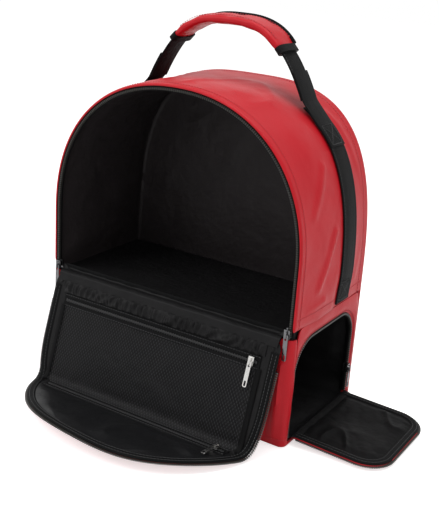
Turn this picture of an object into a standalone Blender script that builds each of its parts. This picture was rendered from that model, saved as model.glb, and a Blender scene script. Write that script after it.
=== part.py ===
"""Boot bag with a fold-down front and a side boot compartment.

Frame: metres, +Z up, the front faces -Y, the boot door opens to +X.
The origin is the centre of the underside of the base, on the floor.
The front flap and the boot door are modelled open, as the bag stands in use.

Zip layers: every zip has a local frame with X along the hinge line, +Y into the
bag from the outer face of the closed cover (the depth), and +Z along the cover.
"""

import math

import bmesh
import bpy
import numpy as np
from mathutils import Matrix, Vector

# ---------------------------------------------------------------- body sizes
BODY_W = 0.390            # width over the side panels
BODY_D = 0.198            # depth over the front and back panels
BODY_H = 0.438            # height of the front arch
BACK_H = 0.437            # height of the back outline
HINGE_Z = 0.151           # height of the flap hinge over the floor
SEAM_Z = 0.162            # seam between the arch panel and the lower sides
ARCH_SPRING_Z = 0.240     # where the straight front edges start to curve
ARCH_POWER = 2.2          # superellipse power of the front arch
BACK_POWER = 3.1          # squarer outline of the back
WALL = 0.0027             # foam-backed outer fabric
BACK_WALL = 0.0050        # padded back panel
BASE_WALL = 0.0035        # base board in its cover
LINING = 0.0008           # lining fabric
SEAT = 0.0003             # gap between touching pieces
LINING_GAP = 0.0005       # gap between a lining and its wall
MOUTH_LAP = 0.0028        # main lining starts this far behind the sliders
DIVIDER = 0.0025          # floor of the main compartment
SILL_H = 0.0107           # lip behind the hinge line
SILL_T = 0.0018
SILL_SIDE = 0.017         # sill ends inside the side panels
FLOOR_GAP = 0.0018        # compartment floor to the walls round it
SILL_GAP = 0.0023         # sill to the inner face of the front panel
PANEL_TOP_GAP = 0.0005    # front panel ends this far under the hinge

# ---------------------------------------------------------------- zip sizes
ZIP_INSET = 0.0094        # main zip centre line inside the arch outline
TOOTH_GAP = 0.0016        # between the two rows, for the post of the slider
TOOTH_LEN = 0.0018        # a tooth past its spine
SPINE_W = 0.0012          # spine that carries the teeth
TOOTH_PITCH = 0.010
TOOTH_W = 0.005
TOOTH_T = 0.0022          # thickness of the teeth
TOOTH_DEPTH = 0.0005      # outer face of the teeth behind the cover's face
TAPE_T = 0.0010           # body tape
COVER_TAPE_W = 0.0122     # tape on a cover, doubled and stitched
COVER_TAPE_T = 0.0008
TAPE_EDGE = 0.0006        # body tape ends inside the arch outline
TAPE_STEP = 0.013         # length of one facet of a tape along its curve
TAPE_LAP = 0.0006         # body tape ends this far short of its teeth's tips
BODY_CHAIN_START = 0.0015 # body chain starts this far over the hinge

# ---------------------------------------------------------------- flap sizes
COVER_T = 0.0024          # outer fabric of flap and door
FLAP_FOLD = 0.155         # hinge to the soft fold, along the flap
FOLD_AXIS = 0.0036        # depth of the fold axis in the flap
FOLD_GAP = 0.0006         # edge tapes and chains stop this far from the fold
FLAP_HANG = 72.0          # degrees below level, upper part of the open flap
END_RISE = 9.0            # degrees above level, end part of the open flap
FLAP_START = 0.0006       # flap fabric starts this far from the hinge axis
FLAP_CORNER = 0.018       # round corners beside the hinge
CHAIN_START = 0.043       # cover chains start past the parked slider's pull
POCKET_HALF = 0.160       # half width of the mesh pocket
GATHER_S0 = 0.0110        # gathered strip along the flap
GATHER_S1 = 0.0285
GATHER_FOLDS = 18
GATHER_WAVE = 0.0007
GATHER_LIFT = 0.0012      # gathered strip stands off the flap lining
GATHER_EXTRA = 0.004      # and is wider than the mesh on each side
UPPER_ZIP_S = 0.038       # upper pocket zip from the hinge
LOWER_ZIP_S = 0.013       # lower pocket zip from the fold
POCKET_TAPE_W = 0.018
POCKET_TAPE_T = 0.0007
COIL_W = 0.003
COIL_T = 0.0012
MESH_T = 0.0008
MESH_END = 0.003          # mesh stops before the fold
COIL_END = 0.004          # pocket coils stop inside their tapes

# ---------------------------------------------------------------- boot door
DOOR_HINGE_Z = 0.008
DOOR_Y0 = -0.084          # zip centre line of the boot opening, front edge
DOOR_Y1 = 0.082           # and back edge
DOOR_H = 0.130            # hinge to the top of the zip centre line
DOOR_CORNER = 0.040       # upper corner radius of that line
DOOR_TILT = 92.0          # degrees from closed to open on the floor
FRAME_EDGE = 0.0050       # panel edge outside the zip centre line
DOOR_START = 0.0006       # door fabric starts this far from its hinge axis
DOOR_SILL = 0.0003        # opening starts this far over the hinge axis
DOOR_RUN = 0.0025         # boot zip starts this far over the hinge axis
DOOR_CORNER_LOW = 0.008
DOOR_CHAIN_START = 0.060  # door chain starts past the parked slider
DOOR_CHAIN_FRONT = 0.0066 # and this far from the hinge on the other side
MOUTH_GAP = 0.0043        # boot lining ends this far inside the side wall

# ---------------------------------------------------------------- webbing
WEB_W = 0.038
WEB_T = 0.0018
WEB_Y = 0.030             # centre of the side webbing and the carry handle
WEB_LOW_Z = 0.166
WEB_SEAT = 0.0006         # webbing to the arch panel's facets
WEB_LEAVE_X = 0.140       # webbing leaves the arch here
HANDLE_TOP = 0.5125
HANDLE_DROP = 0.0967      # handle line falls this far from its top to its feet
HANDLE_POWER = 2.894      # and flattens towards its middle by this power
HANDLE_FOOT_X = 0.1220
FOOT_SHARES = (0.16, 0.32, 0.53, 0.79, 1.0)   # rows of the round handle feet
FOOT_TIP = 0.0002         # first row of a foot
HANDLE_WEB_T = 0.0023
ROOT_GAP = 0.0009         # swing gap between handle foot and side webbing
PIVOT_RISE = 0.0165       # swing axis above the handle's feet
GRIP_HALF = 0.078         # half length of the grip, in x
GRIP_W = 0.046
GRIP_T = 0.012
GRIP_BORE = 0.0005        # clearance round the webbing in the grip
COLLAR_L = 0.009
COLLAR_EXTRA = 0.0014

# ---------------------------------------------------------------- straps
STRAP_TOP_Z = 0.402
STRAP_LOW_Z = 0.056
STRAP_X_TOP = 0.078
STRAP_X_LOW = 0.132
STRAP_BOW = 0.036         # how far the strap stands off the back
STRAP_W = 0.062
STRAP_T = 0.009
STRAP_PAD_END = 0.62      # share of the strap line that is padded
STRAP_JOIN = 0.0012       # share of the line between pad and webbing
STRAP_WEB_W = 0.025
STRAP_WEB_T = 0.0016
LOCK_W = 0.034
LOCK_L = 0.026
LOCK_T = 0.0036
LOCK_BAR = 0.0045
TAB_W = 0.036
TAB_H = 0.034
TAB_T = 0.0020
TAB_LAP = 0.008           # tab reaches this far above the webbing's end
PAD_W = 0.260
PAD_Z0 = 0.070
PAD_Z1 = 0.380
PAD_T = 0.007

# ---------------------------------------------------------------- sliders
SLIDER_W = 0.0078         # passes the closed cover's edge
SLIDER_L = 0.0120
SLIDER_PLATE = 0.0019
SLIDER_BACK = 0.0012
SLIDER_POST_W = 0.0010
SLIDER_POST_L = 0.0030
SLIDER_PARK_Z = 0.0075    # slider centre above the hinge height
BOOT_PARK_Z = 0.040       # boot slider centre above the door hinge
JOIN = 0.0004             # how far merged parts of a slider run into each other
EYE_LIFT = 0.0012         # eye bar of a pull over the slider's plate
BOOT_PULL_L = 0.030
POCKET_PULL_L = 0.034
POCKET_SLIDER_IN = 0.012  # upper pocket slider from the pocket's edge
LOWER_SLIDER_IN = 0.026   # lower pocket slider from the pocket's edge
LOWER_POCKET_IN = 0.010   # lower pocket zip is this much shorter per side
BAIL_L = 0.0084
BAIL_W = 0.0014
BAIL_H = 0.0030
BAIL_BAR = 0.0008
PULL_T = 0.0012
PULL_W = 0.0058
PULL_L = 0.036
PULL_SLOT_W = 0.0028
PULL_SLOT_L = 0.0070
PULL_EYE = 0.0012         # bar over each slot

# ---------------------------------------------------------------- derived
HALF_W = BODY_W / 2
HALF_D = BODY_D / 2
PLANE_Y = -(HALF_D + SEAT)                  # outer face of the closed flap
TOOTH_IN = ZIP_INSET - TOOTH_GAP / 2        # body row, inner ends of its teeth
TOOTH_MID = TOOTH_IN - TOOTH_LEN
TOOTH_OUT = TOOTH_MID - SPINE_W
COVER_IN = ZIP_INSET + TOOTH_GAP / 2        # cover row, outer ends of its teeth
COVER_MID = COVER_IN + TOOTH_LEN
COVER_OUT = COVER_MID + SPINE_W
COVER_EDGE = COVER_OUT + 0.0002             # cover fabric edge
TAPE_DEPTH = TOOTH_DEPTH + TOOTH_T + SEAT   # body tape behind the teeth
COVER_TAPE_DEPTH = COVER_T + SEAT
COVER_TAPE_OUT = COVER_IN + 0.0016
COVER_TAPE_IN = COVER_TAPE_OUT + COVER_TAPE_W
LAYER_DEPTH = COVER_TAPE_DEPTH + COVER_TAPE_T + SEAT
COIL_DEPTH = LAYER_DEPTH + POCKET_TAPE_T + SEAT
GUSSET_Y0 = PLANE_Y + TAPE_DEPTH + TAPE_T + SEAT
GUSSET_Y1 = HALF_D - BACK_WALL - SEAT
FRONT_IN = GUSSET_Y0 - SEAT                 # inner face of the front lower panel
WALL_Z0 = BASE_WALL + SEAT
FLOOR_Z = HINGE_Z - 0.001                   # top of the compartment floor
DIVIDER_Z0 = FLOOR_Z - DIVIDER
STRAP_Y0 = HALF_D + STRAP_T / 2 + SEAT      # strap centre line at its top seam
STRAP_Y1 = HALF_D + 2 * SEAT + TAB_T + STRAP_WEB_T / 2
BACK_CHANNEL = TAPE_DEPTH + TAPE_T + SEAT   # back plate of a slider
BORE_MARGIN = 0.004                         # bore cutters reach past their sleeves
FLAP_TURN = math.radians(90.0 + FLAP_HANG)
END_TURN = math.radians(90.0 - END_RISE)
DOOR_TURN = math.radians(DOOR_TILT)

RED = (0.58, 0.035, 0.045, 1.0)
BLACK = (0.018, 0.018, 0.019, 1.0)
LINING_BLACK = (0.012, 0.012, 0.013, 1.0)
MESH_BLACK = (0.022, 0.022, 0.024, 1.0)
NICKEL = (0.62, 0.62, 0.62, 1.0)
GUNMETAL = (0.10, 0.10, 0.11, 1.0)


# ================================================================ helpers
def clear_scene():
    for obj in list(bpy.data.objects):
        bpy.data.objects.remove(obj, do_unlink=True)


def new_collection(name):
    coll = bpy.data.collections.new(name)
    bpy.context.scene.collection.children.link(coll)
    return coll


def fabric(name, colour, roughness, metallic=0.0):
    mat = bpy.data.materials.new(name)
    mat.use_nodes = True
    shader = mat.node_tree.nodes["Principled BSDF"]
    shader.inputs["Base Color"].default_value = colour
    shader.inputs["Roughness"].default_value = roughness
    shader.inputs["Metallic"].default_value = metallic
    return mat


def add_object(name, mesh, material, parent=None, collection=None):
    obj = bpy.data.objects.new(name, mesh)
    (collection or BAG).objects.link(obj)
    mesh.materials.append(material)
    obj.parent = parent
    return obj


def frame_at(name, location, rotation=None):
    """An empty whose origin lies on a joint axis."""
    empty = bpy.data.objects.new(name, None)
    BAG.objects.link(empty)
    turn = rotation or Matrix.Identity(4)
    empty.matrix_world = Matrix.Translation(location) @ turn
    return empty


def mesh_from(name, verts, faces):
    mesh = bpy.data.meshes.new(name)
    mesh.from_pydata([tuple(v) for v in verts], [], faces)
    mesh.update()
    return mesh


def flip(mesh):
    mesh.flip_normals()
    mesh.update()


def faces_away(mesh, origin=None, direction=None):
    """True when the sheet's faces look away from a point or along a direction."""
    total = 0.0
    for poly in mesh.polygons:
        look = Vector(direction) if direction else poly.center - Vector(origin)
        total += poly.area * poly.normal.dot(look)
    return total > 0


def sheet(name, verts, faces, thickness, material, parent=None,
          direction=None, origin=None, collection=None):
    """A surface that is given its thickness on the side away from its faces."""
    mesh = mesh_from(name, verts, faces)
    if not faces_away(mesh, origin, direction):
        flip(mesh)
    obj = add_object(name, mesh, material, parent, collection)
    solid = obj.modifiers.new("thickness", "SOLIDIFY")
    solid.thickness = thickness
    solid.offset = -1.0
    solid.use_even_offset = True
    return obj


def box(name, low, high, material, parent=None, bevel=0.0, collection=None):
    bm = bmesh.new()
    bmesh.ops.create_cube(bm, size=1.0)
    size = Vector(high) - Vector(low)
    centre = (Vector(high) + Vector(low)) / 2
    bmesh.ops.scale(bm, vec=size, verts=bm.verts)
    bmesh.ops.translate(bm, vec=centre, verts=bm.verts)
    mesh = bpy.data.meshes.new(name)
    bm.to_mesh(mesh)
    bm.free()
    obj = add_object(name, mesh, material, parent, collection)
    if bevel:
        mod = obj.modifiers.new("edge", "BEVEL")
        mod.width = bevel
        mod.segments = 2
    return obj


def grid_faces(rows, cols):
    return [(r * cols + c, r * cols + c + 1, (r + 1) * cols + c + 1, (r + 1) * cols + c)
            for r in range(rows - 1) for c in range(cols - 1)]


def resample(points, count):
    """Points spread evenly along a polyline."""
    pts = np.asarray(points, float)
    steps = np.linalg.norm(np.diff(pts, axis=0), axis=1)
    run = np.concatenate([[0.0], np.cumsum(steps)])
    want = np.linspace(0.0, run[-1], count)
    return np.stack([np.interp(want, run, pts[:, k]) for k in range(pts.shape[1])], axis=1)


class Path:
    """A flat line with its left-to-right run over a cover, and insets from it."""

    def __init__(self, points, count=400):
        self.points = resample(points, count)
        tangent = np.gradient(self.points, axis=0)
        tangent /= np.linalg.norm(tangent, axis=1)[:, None]
        self.inward = np.stack([tangent[:, 1], -tangent[:, 0]], axis=1)
        steps = np.linalg.norm(np.diff(self.points, axis=0), axis=1)
        self.run = np.concatenate([[0.0], np.cumsum(steps)])
        self.length = self.run[-1]

    def at(self, distance, inset=0.0):
        place = [np.interp(distance, self.run, self.points[:, k]) for k in (0, 1)]
        normal = np.array([np.interp(distance, self.run, self.inward[:, k]) for k in (0, 1)])
        normal /= np.linalg.norm(normal)
        return np.array(place) + normal * inset

    def distances_at_height(self, height, inset=0.0):
        """Distances at which the rising and the falling half pass a height."""
        line = np.array([self.at(d, inset) for d in self.run])
        top = len(line) // 2
        rising = np.interp(height, line[:top, 1], self.run[:top])
        falling = np.interp(-height, -line[top:, 1], self.run[top:])
        return float(rising), float(falling)


def strip_sheet(path, start, end, inset_a, inset_b, step):
    """A band between two insets of a path, as flat (u, v) points and faces."""
    count = max(2, int(round((end - start) / step)) + 1)
    verts = []
    for distance in np.linspace(start, end, count):
        verts.append(path.at(distance, inset_a))
        verts.append(path.at(distance, inset_b))
    return verts, grid_faces(count, 2)


def comb_sheet(path, start, end, outer, middle, inner, pitch, tooth):
    """A spine between two insets with teeth that reach a third inset."""
    count = int((end - start) // pitch)
    margin = (end - start - count * pitch) / 2
    verts = []
    faces = []

    def column(distance):
        verts.append(path.at(distance, outer))
        verts.append(path.at(distance, middle))
        return len(verts) - 2

    before = column(start)
    for k in range(count):
        begin = start + margin + k * pitch + (pitch - tooth) / 2
        left = column(begin)
        right = column(begin + tooth)
        faces.append((before, before + 1, left + 1, left))
        faces.append((left, left + 1, right + 1, right))
        verts.append(path.at(begin, inner))
        verts.append(path.at(begin + tooth, inner))
        tip = len(verts) - 2
        faces.append((left + 1, tip, tip + 1, right + 1))
        before = right
    last = column(end)
    faces.append((before, before + 1, last + 1, last))
    return verts, faces


def plate(name, flat, faces, depth, thickness, material, parent, shift=(0.0, 0.0)):
    """A flat (u, v) sheet at a depth of a zip frame, thick towards the inside."""
    verts = [(u - shift[0], depth, v - shift[1]) for u, v in flat]
    return sheet(name, verts, faces, thickness, material, parent, direction=(0, -1, 0))


def polygon(name, outline, depth, thickness, material, parent, shift=(0.0, 0.0)):
    return plate(name, outline, [tuple(range(len(outline)))], depth, thickness,
                 material, parent, shift)


def boolean(obj, cutter, operation="DIFFERENCE"):
    mod = obj.modifiers.new(operation.lower(), "BOOLEAN")
    mod.operation = operation
    mod.object = cutter
    mod.solver = "EXACT"
    cutter.hide_render = True
    cutter.display_type = "WIRE"
    return mod


def ribbon(name, centres, widths, thicknesses, material, parent=None,
           side=(0, 1, 0), rounded=False, collection=None, tangents=None):
    """A strap along a line: flat, or with rounded long edges."""
    pts = np.asarray(centres, float)
    tangent = np.gradient(pts, axis=0) if tangents is None else np.array(tangents)
    tangent /= np.linalg.norm(tangent, axis=1)[:, None]
    ring = [(-1, -1), (1, -1), (1, 1), (-1, 1)]
    if rounded:
        ring = [(-1, -0.35), (-0.86, -0.85), (-0.5, -1), (0.5, -1), (0.86, -0.85), (1, -0.35),
                (1, 0.35), (0.86, 0.85), (0.5, 1), (-0.5, 1), (-0.86, 0.85), (-1, 0.35)]
    verts = []
    for p, t, w, h in zip(pts, tangent, widths, thicknesses):
        across = np.asarray(side, float) - t * np.dot(side, t)
        across /= np.linalg.norm(across)
        up = np.cross(t, across)
        for a, b in ring:
            verts.append(p + across * a * w / 2 + up * b * h / 2)
    n = len(ring)
    faces = []
    for r in range(len(pts) - 1):
        for c in range(n):
            d = (c + 1) % n
            faces.append((r * n + c, r * n + d, (r + 1) * n + d, (r + 1) * n + c))
    faces.append(tuple(range(n))[::-1])
    faces.append(tuple(range((len(pts) - 1) * n, len(pts) * n)))
    mesh = mesh_from(name, verts, faces)
    bm = bmesh.new()
    bm.from_mesh(mesh)
    bmesh.ops.recalc_face_normals(bm, faces=bm.faces)
    bm.to_mesh(mesh)
    bm.free()
    if rounded:
        mesh.shade_smooth()
        mesh.set_sharp_from_angle(angle=math.radians(50))
    return add_object(name, mesh, material, parent, collection)


# ================================================================ outlines
def arch_points(half, spring, rise, power, low, count=160):
    """Open arch from low left over the top to low right, as (x, z)."""
    angle = np.linspace(math.pi, 0.0, count)
    c = np.cos(angle)
    s = np.sin(angle)
    x = half * np.sign(c) * np.abs(c) ** (2.0 / power)
    z = spring + rise * np.abs(s) ** (2.0 / power)
    pts = list(zip(x, z))
    if low < spring - 1e-6:
        pts = [(-half, low)] + pts + [(half, low)]
    return np.array(pts)


def section(y, inset=0.0, low=SEAM_Z):
    """Outline of the bag's top at a depth, blended from front arch to back."""
    share = (y - PLANE_Y) / (HALF_D - PLANE_Y)
    spring = ARCH_SPRING_Z * (1 - share) + SEAM_Z * share
    top = BODY_H * (1 - share) + BACK_H * share
    power = ARCH_POWER * (1 - share) + BACK_POWER * share
    return arch_points(HALF_W - inset, spring, top - spring - inset, power, low)


def front_path():
    return Path(arch_points(HALF_W, ARCH_SPRING_Z, BODY_H - ARCH_SPRING_Z, ARCH_POWER,
                            HINGE_Z + BODY_CHAIN_START))


def door_path():
    """Zip centre line of the boot opening in its zip frame, as (u, v)."""
    r = DOOR_CORNER
    top = DOOR_HINGE_Z + DOOR_H
    pts = [(DOOR_Y0, DOOR_HINGE_Z + DOOR_RUN)]
    for k in range(13):
        a = math.pi - k * math.pi / 24
        pts.append((DOOR_Y0 + r + r * math.cos(a), top - r + r * math.sin(a)))
    for k in range(13):
        a = math.pi / 2 - k * math.pi / 24
        pts.append((DOOR_Y1 - r + r * math.cos(a), top - r + r * math.sin(a)))
    pts.append((DOOR_Y1, DOOR_HINGE_Z + DOOR_RUN))
    return Path(pts)


def cover_outline(path, inset, v_low, v_high, corner, count=56):
    """Closed outline of a cover between two heights, round beside its hinge."""
    line = resample([path.at(d, inset) for d in path.run], count)
    keep = [p for p in line if v_low + corner < p[1] < v_high]
    left = [p for p in keep if p[0] < np.mean(line[:, 0])]
    right = [p for p in keep if p[0] >= np.mean(line[:, 0])]
    half_low = [line[0][0], line[-1][0]]
    pts = []
    for k in range(5):
        a = math.pi * 1.5 - k * math.pi / 8
        pts.append((half_low[0] + corner + corner * math.cos(a),
                    v_low + corner + corner * math.sin(a)))
    pts.extend(left)
    if line[:, 1].max() > v_high:
        cut_left = np.interp(v_high, line[:count // 2, 1], line[:count // 2, 0])
        cut_right = np.interp(-v_high, -line[count // 2:, 1], line[count // 2:, 0])
        pts.append((cut_left, v_high))
        pts.append((cut_right, v_high))
    pts.extend(right)
    for k in range(5):
        a = -k * math.pi / 8
        pts.append((half_low[1] - corner + corner * math.cos(a),
                    v_low + corner + corner * math.sin(a)))
    return pts


def cap_outline(path, inset, v_low, count=56):
    """Closed outline of the part of a cover above a straight line."""
    line = resample([path.at(d, inset) for d in path.run], count)
    middle = count // 2
    left = np.interp(v_low, line[:middle, 1], line[:middle, 0])
    right = np.interp(-v_low, -line[middle:, 1], line[middle:, 0])
    inside = [tuple(p) for p in line if p[1] > v_low + 1e-4]
    return [(left, v_low)] + inside + [(right, v_low)]


# ================================================================ body
def base_and_floor():
    box("base_panel", (-HALF_W, -HALF_D, 0.0), (HALF_W, HALF_D, BASE_WALL), RED_MAT)
    floor_x = HALF_W - WALL - FLOOR_GAP
    box("compartment_floor", (-floor_x, FRONT_IN + FLOOR_GAP, DIVIDER_Z0),
        (floor_x, HALF_D - BACK_WALL - FLOOR_GAP, FLOOR_Z), LINING_MAT)
    sill_y = FRONT_IN + SILL_GAP
    box("opening_sill", (-(HALF_W - SILL_SIDE), sill_y, FLOOR_Z + SEAT),
        (HALF_W - SILL_SIDE, sill_y + SILL_T, FLOOR_Z + SILL_H), WEB_MAT)


def lower_walls():
    box("front_lower_panel", (-HALF_W, -HALF_D, WALL_Z0),
        (HALF_W, FRONT_IN, HINGE_Z - PANEL_TOP_GAP), RED_MAT)
    side_top = SEAM_Z - SEAT
    box("left_lower_panel", (-HALF_W, GUSSET_Y0, WALL_Z0),
        (-HALF_W + WALL, GUSSET_Y1, side_top), RED_MAT)
    frame = box("right_lower_frame", (HALF_W - WALL, GUSSET_Y0, WALL_Z0),
                (HALF_W, GUSSET_Y1, side_top), RED_MAT)
    path = door_path()
    hole = cap_outline(path, -FRAME_EDGE, DOOR_HINGE_Z + DOOR_RUN)
    bottom = DOOR_HINGE_Z + DOOR_SILL
    hole = [(hole[0][0], bottom)] + hole[1:-1] + [(hole[-1][0], bottom)]
    cutter = sheet("boot_opening_cutter",
                   [(u, -4 * WALL, v) for u, v in hole], [tuple(range(len(hole)))], 10 * WALL,
                   RED_MAT, DOOR_SIDE, direction=(0, -1, 0), collection=CUTTERS)
    boolean(frame, cutter)


def arch_panel():
    """The panel that runs up one side, over the top and down the other."""
    rows = 5
    cols = 53
    verts = []
    for y in np.linspace(GUSSET_Y0, GUSSET_Y1, rows):
        for x, z in resample(section(y), cols):
            verts.append((x, y, z))
    obj = sheet("arch_panel", verts, grid_faces(rows, cols), WALL, RED_MAT,
                origin=(0, 0, SEAM_Z))
    obj.data.shade_smooth()


def back_pieces():
    arch = resample(section(HALF_D - BACK_WALL), 61)
    outline = [(-HALF_W, WALL_Z0)] + [tuple(p) for p in arch] + [(HALF_W, WALL_Z0)]
    verts = [(x, HALF_D, z) for x, z in outline]
    sheet("back_panel", verts, [tuple(range(len(verts)))], BACK_WALL, RED_MAT,
          direction=(0, 1, 0))
    box("back_pad", (-PAD_W / 2, HALF_D + SEAT, PAD_Z0),
        (PAD_W / 2, HALF_D + SEAT + PAD_T, PAD_Z1), MESH_MAT, bevel=0.003)


def linings():
    rows = 4
    cols = 41
    inset = WALL + LINING_GAP
    y0 = GUSSET_Y0 + SLIDER_BACK + MOUTH_LAP
    y1 = GUSSET_Y1 - LINING_GAP
    verts = []
    for y in np.linspace(y0, y1, rows):
        for x, z in resample(section(y, inset, FLOOR_Z + LINING_GAP), cols):
            verts.append((x, y, z))
    faces = grid_faces(rows, cols)
    faces.append(tuple(range((rows - 1) * cols, rows * cols)))
    obj = sheet("main_lining", verts, faces, LINING, LINING_MAT, origin=(0, -HALF_D, SEAM_Z))
    obj.data.shade_smooth()
    obj.data.set_sharp_from_angle(angle=math.radians(50))

    x0 = -(HALF_W - WALL - LINING_GAP)
    x1 = HALF_W - WALL - MOUTH_GAP
    ya = FRONT_IN + LINING_GAP
    yb = HALF_D - BACK_WALL - LINING_GAP
    z0 = BASE_WALL + LINING_GAP
    z1 = DIVIDER_Z0 - LINING_GAP
    corners = [(x1, ya, z1), (x0, ya, z1), (x0, yb, z1), (x1, yb, z1),
               (x1, ya, z0), (x0, ya, z0), (x0, yb, z0), (x1, yb, z0)]
    quads = [(0, 1, 5, 4), (1, 2, 6, 5), (2, 3, 7, 6), (4, 5, 6, 7)]
    sheet("boot_lining", corners, quads, LINING, LINING_MAT,
          origin=(HALF_W, 0, DIVIDER_Z0))


def body_chain(name, path, frame, edge, start, shift=(0.0, 0.0), centre=0.0):
    """Tape and teeth that stay on the bag, beside a cover."""
    flat, faces = strip_sheet(path, start, path.length - start, centre + edge,
                              centre + TOOTH_IN - TAPE_LAP, TAPE_STEP)
    plate(name + "_tape", flat, faces, TAPE_DEPTH, TAPE_T, WEB_MAT, frame, shift)
    flat, faces = comb_sheet(path, start, path.length - start, centre + TOOTH_OUT,
                             centre + TOOTH_MID, centre + TOOTH_IN, TOOTH_PITCH, TOOTH_W)
    plate(name + "_teeth", flat, faces, TOOTH_DEPTH, TOOTH_T, TEETH_MAT, frame, shift)


# ================================================================ flap
def flap_upper_pieces():
    path = front_path()
    shift = (0.0, HINGE_Z)
    fold = HINGE_Z + FLAP_FOLD
    low = HINGE_Z + FLAP_START
    outline = cover_outline(path, COVER_EDGE, low, fold - SEAT, FLAP_CORNER)
    polygon("flap_panel_upper", outline, 0.0, COVER_T, RED_MAT, FLAP, shift)
    lining = cover_outline(path, COVER_TAPE_IN + SEAT, low, fold - SEAT, FLAP_CORNER)
    polygon("flap_lining_upper", lining, COVER_TAPE_DEPTH, COVER_TAPE_T, LINING_MAT,
            FLAP, shift)

    start = path.distances_at_height(HINGE_Z + CHAIN_START)
    end = path.distances_at_height(fold - FOLD_GAP, COVER_IN)
    for side, (d0, d1) in (("left", (start[0], end[0])), ("right", (end[1], start[1]))):
        flat, faces = strip_sheet(path, d0, d1, COVER_TAPE_OUT, COVER_TAPE_IN, 0.016)
        plate("flap_tape_" + side, flat, faces, COVER_TAPE_DEPTH, COVER_TAPE_T, WEB_MAT,
              FLAP, shift)
        flat, faces = comb_sheet(path, d0, d1, COVER_OUT, COVER_MID, COVER_IN,
                                 TOOTH_PITCH, TOOTH_W)
        plate("flap_teeth_" + side, flat, faces, TOOTH_DEPTH, TOOTH_T, TEETH_MAT, FLAP, shift)

    gather_strip()
    pocket_zip("pocket_upper", UPPER_ZIP_S, POCKET_HALF, FLAP, 0.0)
    s0 = UPPER_ZIP_S + POCKET_TAPE_W / 2 + SEAT
    box("pocket_mesh", (-POCKET_HALF, LAYER_DEPTH, s0),
        (POCKET_HALF, LAYER_DEPTH + MESH_T, FLAP_FOLD - MESH_END), MESH_MAT, FLAP)


def gather_strip():
    """Ruched lining between the hinge and the upper pocket zip."""
    cols = GATHER_FOLDS * 4 + 1
    half = POCKET_HALF + GATHER_EXTRA
    verts = []
    for share in (0.0, 0.5, 1.0):
        s = GATHER_S0 + (GATHER_S1 - GATHER_S0) * share
        swell = 0.6 + 0.8 * math.sin(math.pi * share)
        for c in range(cols):
            x = -half + 2 * half * c / (cols - 1)
            wave = GATHER_WAVE * swell * math.sin(2 * math.pi * GATHER_FOLDS * c / (cols - 1))
            verts.append((x, LAYER_DEPTH + GATHER_LIFT + wave, s))
    sheet("flap_gather", verts, grid_faces(3, cols), LINING, LINING_MAT, FLAP,
          direction=(0, -1, 0))


def pocket_zip(name, s, half, frame, depth_shift):
    """A closed zip across the flap: one tape under one coil."""
    tape_low = (-half, LAYER_DEPTH - depth_shift, s - POCKET_TAPE_W / 2)
    tape_high = (half, LAYER_DEPTH - depth_shift + POCKET_TAPE_T, s + POCKET_TAPE_W / 2)
    box(name + "_tape", tape_low, tape_high, WEB_MAT, frame)
    line = Path([(-half + COIL_END, s), (half - COIL_END, s)], 40)
    flat, faces = comb_sheet(line, 0.0, line.length, -COIL_W / 2, 0.0, COIL_W / 2,
                             TOOTH_PITCH, TOOTH_W)
    plate(name + "_coil", flat, faces, COIL_DEPTH - depth_shift, COIL_T, TEETH_MAT, frame)


def flap_end_pieces():
    path = front_path()
    fold = HINGE_Z + FLAP_FOLD
    shift = (0.0, fold)
    outline = cap_outline(path, COVER_EDGE, fold + SEAT)
    polygon("flap_panel_end", outline, -FOLD_AXIS, COVER_T, RED_MAT, FLAP_END, shift)
    lining = cap_outline(path, COVER_TAPE_IN + SEAT, fold + SEAT)
    polygon("flap_lining_end", lining, COVER_TAPE_DEPTH - FOLD_AXIS, COVER_TAPE_T,
            LINING_MAT, FLAP_END, shift)
    d0, d1 = path.distances_at_height(fold + FOLD_GAP, COVER_TAPE_IN)
    flat, faces = strip_sheet(path, d0, d1, COVER_TAPE_OUT, COVER_TAPE_IN, 0.014)
    plate("flap_tape_end", flat, faces, COVER_TAPE_DEPTH - FOLD_AXIS, COVER_TAPE_T, WEB_MAT,
          FLAP_END, shift)
    flat, faces = comb_sheet(path, d0, d1, COVER_OUT, COVER_MID, COVER_IN,
                             TOOTH_PITCH, TOOTH_W)
    plate("flap_teeth_end", flat, faces, TOOTH_DEPTH - FOLD_AXIS, TOOTH_T, TEETH_MAT,
          FLAP_END, shift)
    pocket_zip("pocket_lower", LOWER_ZIP_S, POCKET_HALF - LOWER_POCKET_IN, FLAP_END, FOLD_AXIS)


# ================================================================ boot door
def door_pieces():
    path = door_path()
    shift = (0.0, DOOR_HINGE_Z)
    low = DOOR_HINGE_Z + DOOR_START
    high = DOOR_HINGE_Z + 2 * DOOR_H
    edge = COVER_EDGE - ZIP_INSET
    outline = cover_outline(path, edge, low, high, DOOR_CORNER_LOW)
    polygon("boot_door_panel", outline, 0.0, COVER_T, RED_MAT, DOOR, shift)
    inner = COVER_TAPE_IN - ZIP_INSET
    lining = cover_outline(path, inner + SEAT, low, high, DOOR_CORNER_LOW)
    polygon("boot_door_lining", lining, COVER_TAPE_DEPTH, COVER_TAPE_T, LINING_MAT,
            DOOR, shift)
    d0 = path.distances_at_height(DOOR_HINGE_Z + DOOR_CHAIN_FRONT)[0]
    d1 = path.distances_at_height(DOOR_HINGE_Z + DOOR_CHAIN_START)[1]
    flat, faces = strip_sheet(path, d0, d1, COVER_TAPE_OUT - ZIP_INSET, inner, 0.010)
    plate("boot_door_tape", flat, faces, COVER_TAPE_DEPTH, COVER_TAPE_T, WEB_MAT, DOOR, shift)
    flat, faces = comb_sheet(path, d0, d1, COVER_OUT - ZIP_INSET, COVER_MID - ZIP_INSET,
                             COVER_IN - ZIP_INSET, TOOTH_PITCH, TOOTH_W)
    plate("boot_door_teeth", flat, faces, TOOTH_DEPTH, TOOTH_T, TEETH_MAT, DOOR, shift)


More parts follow.
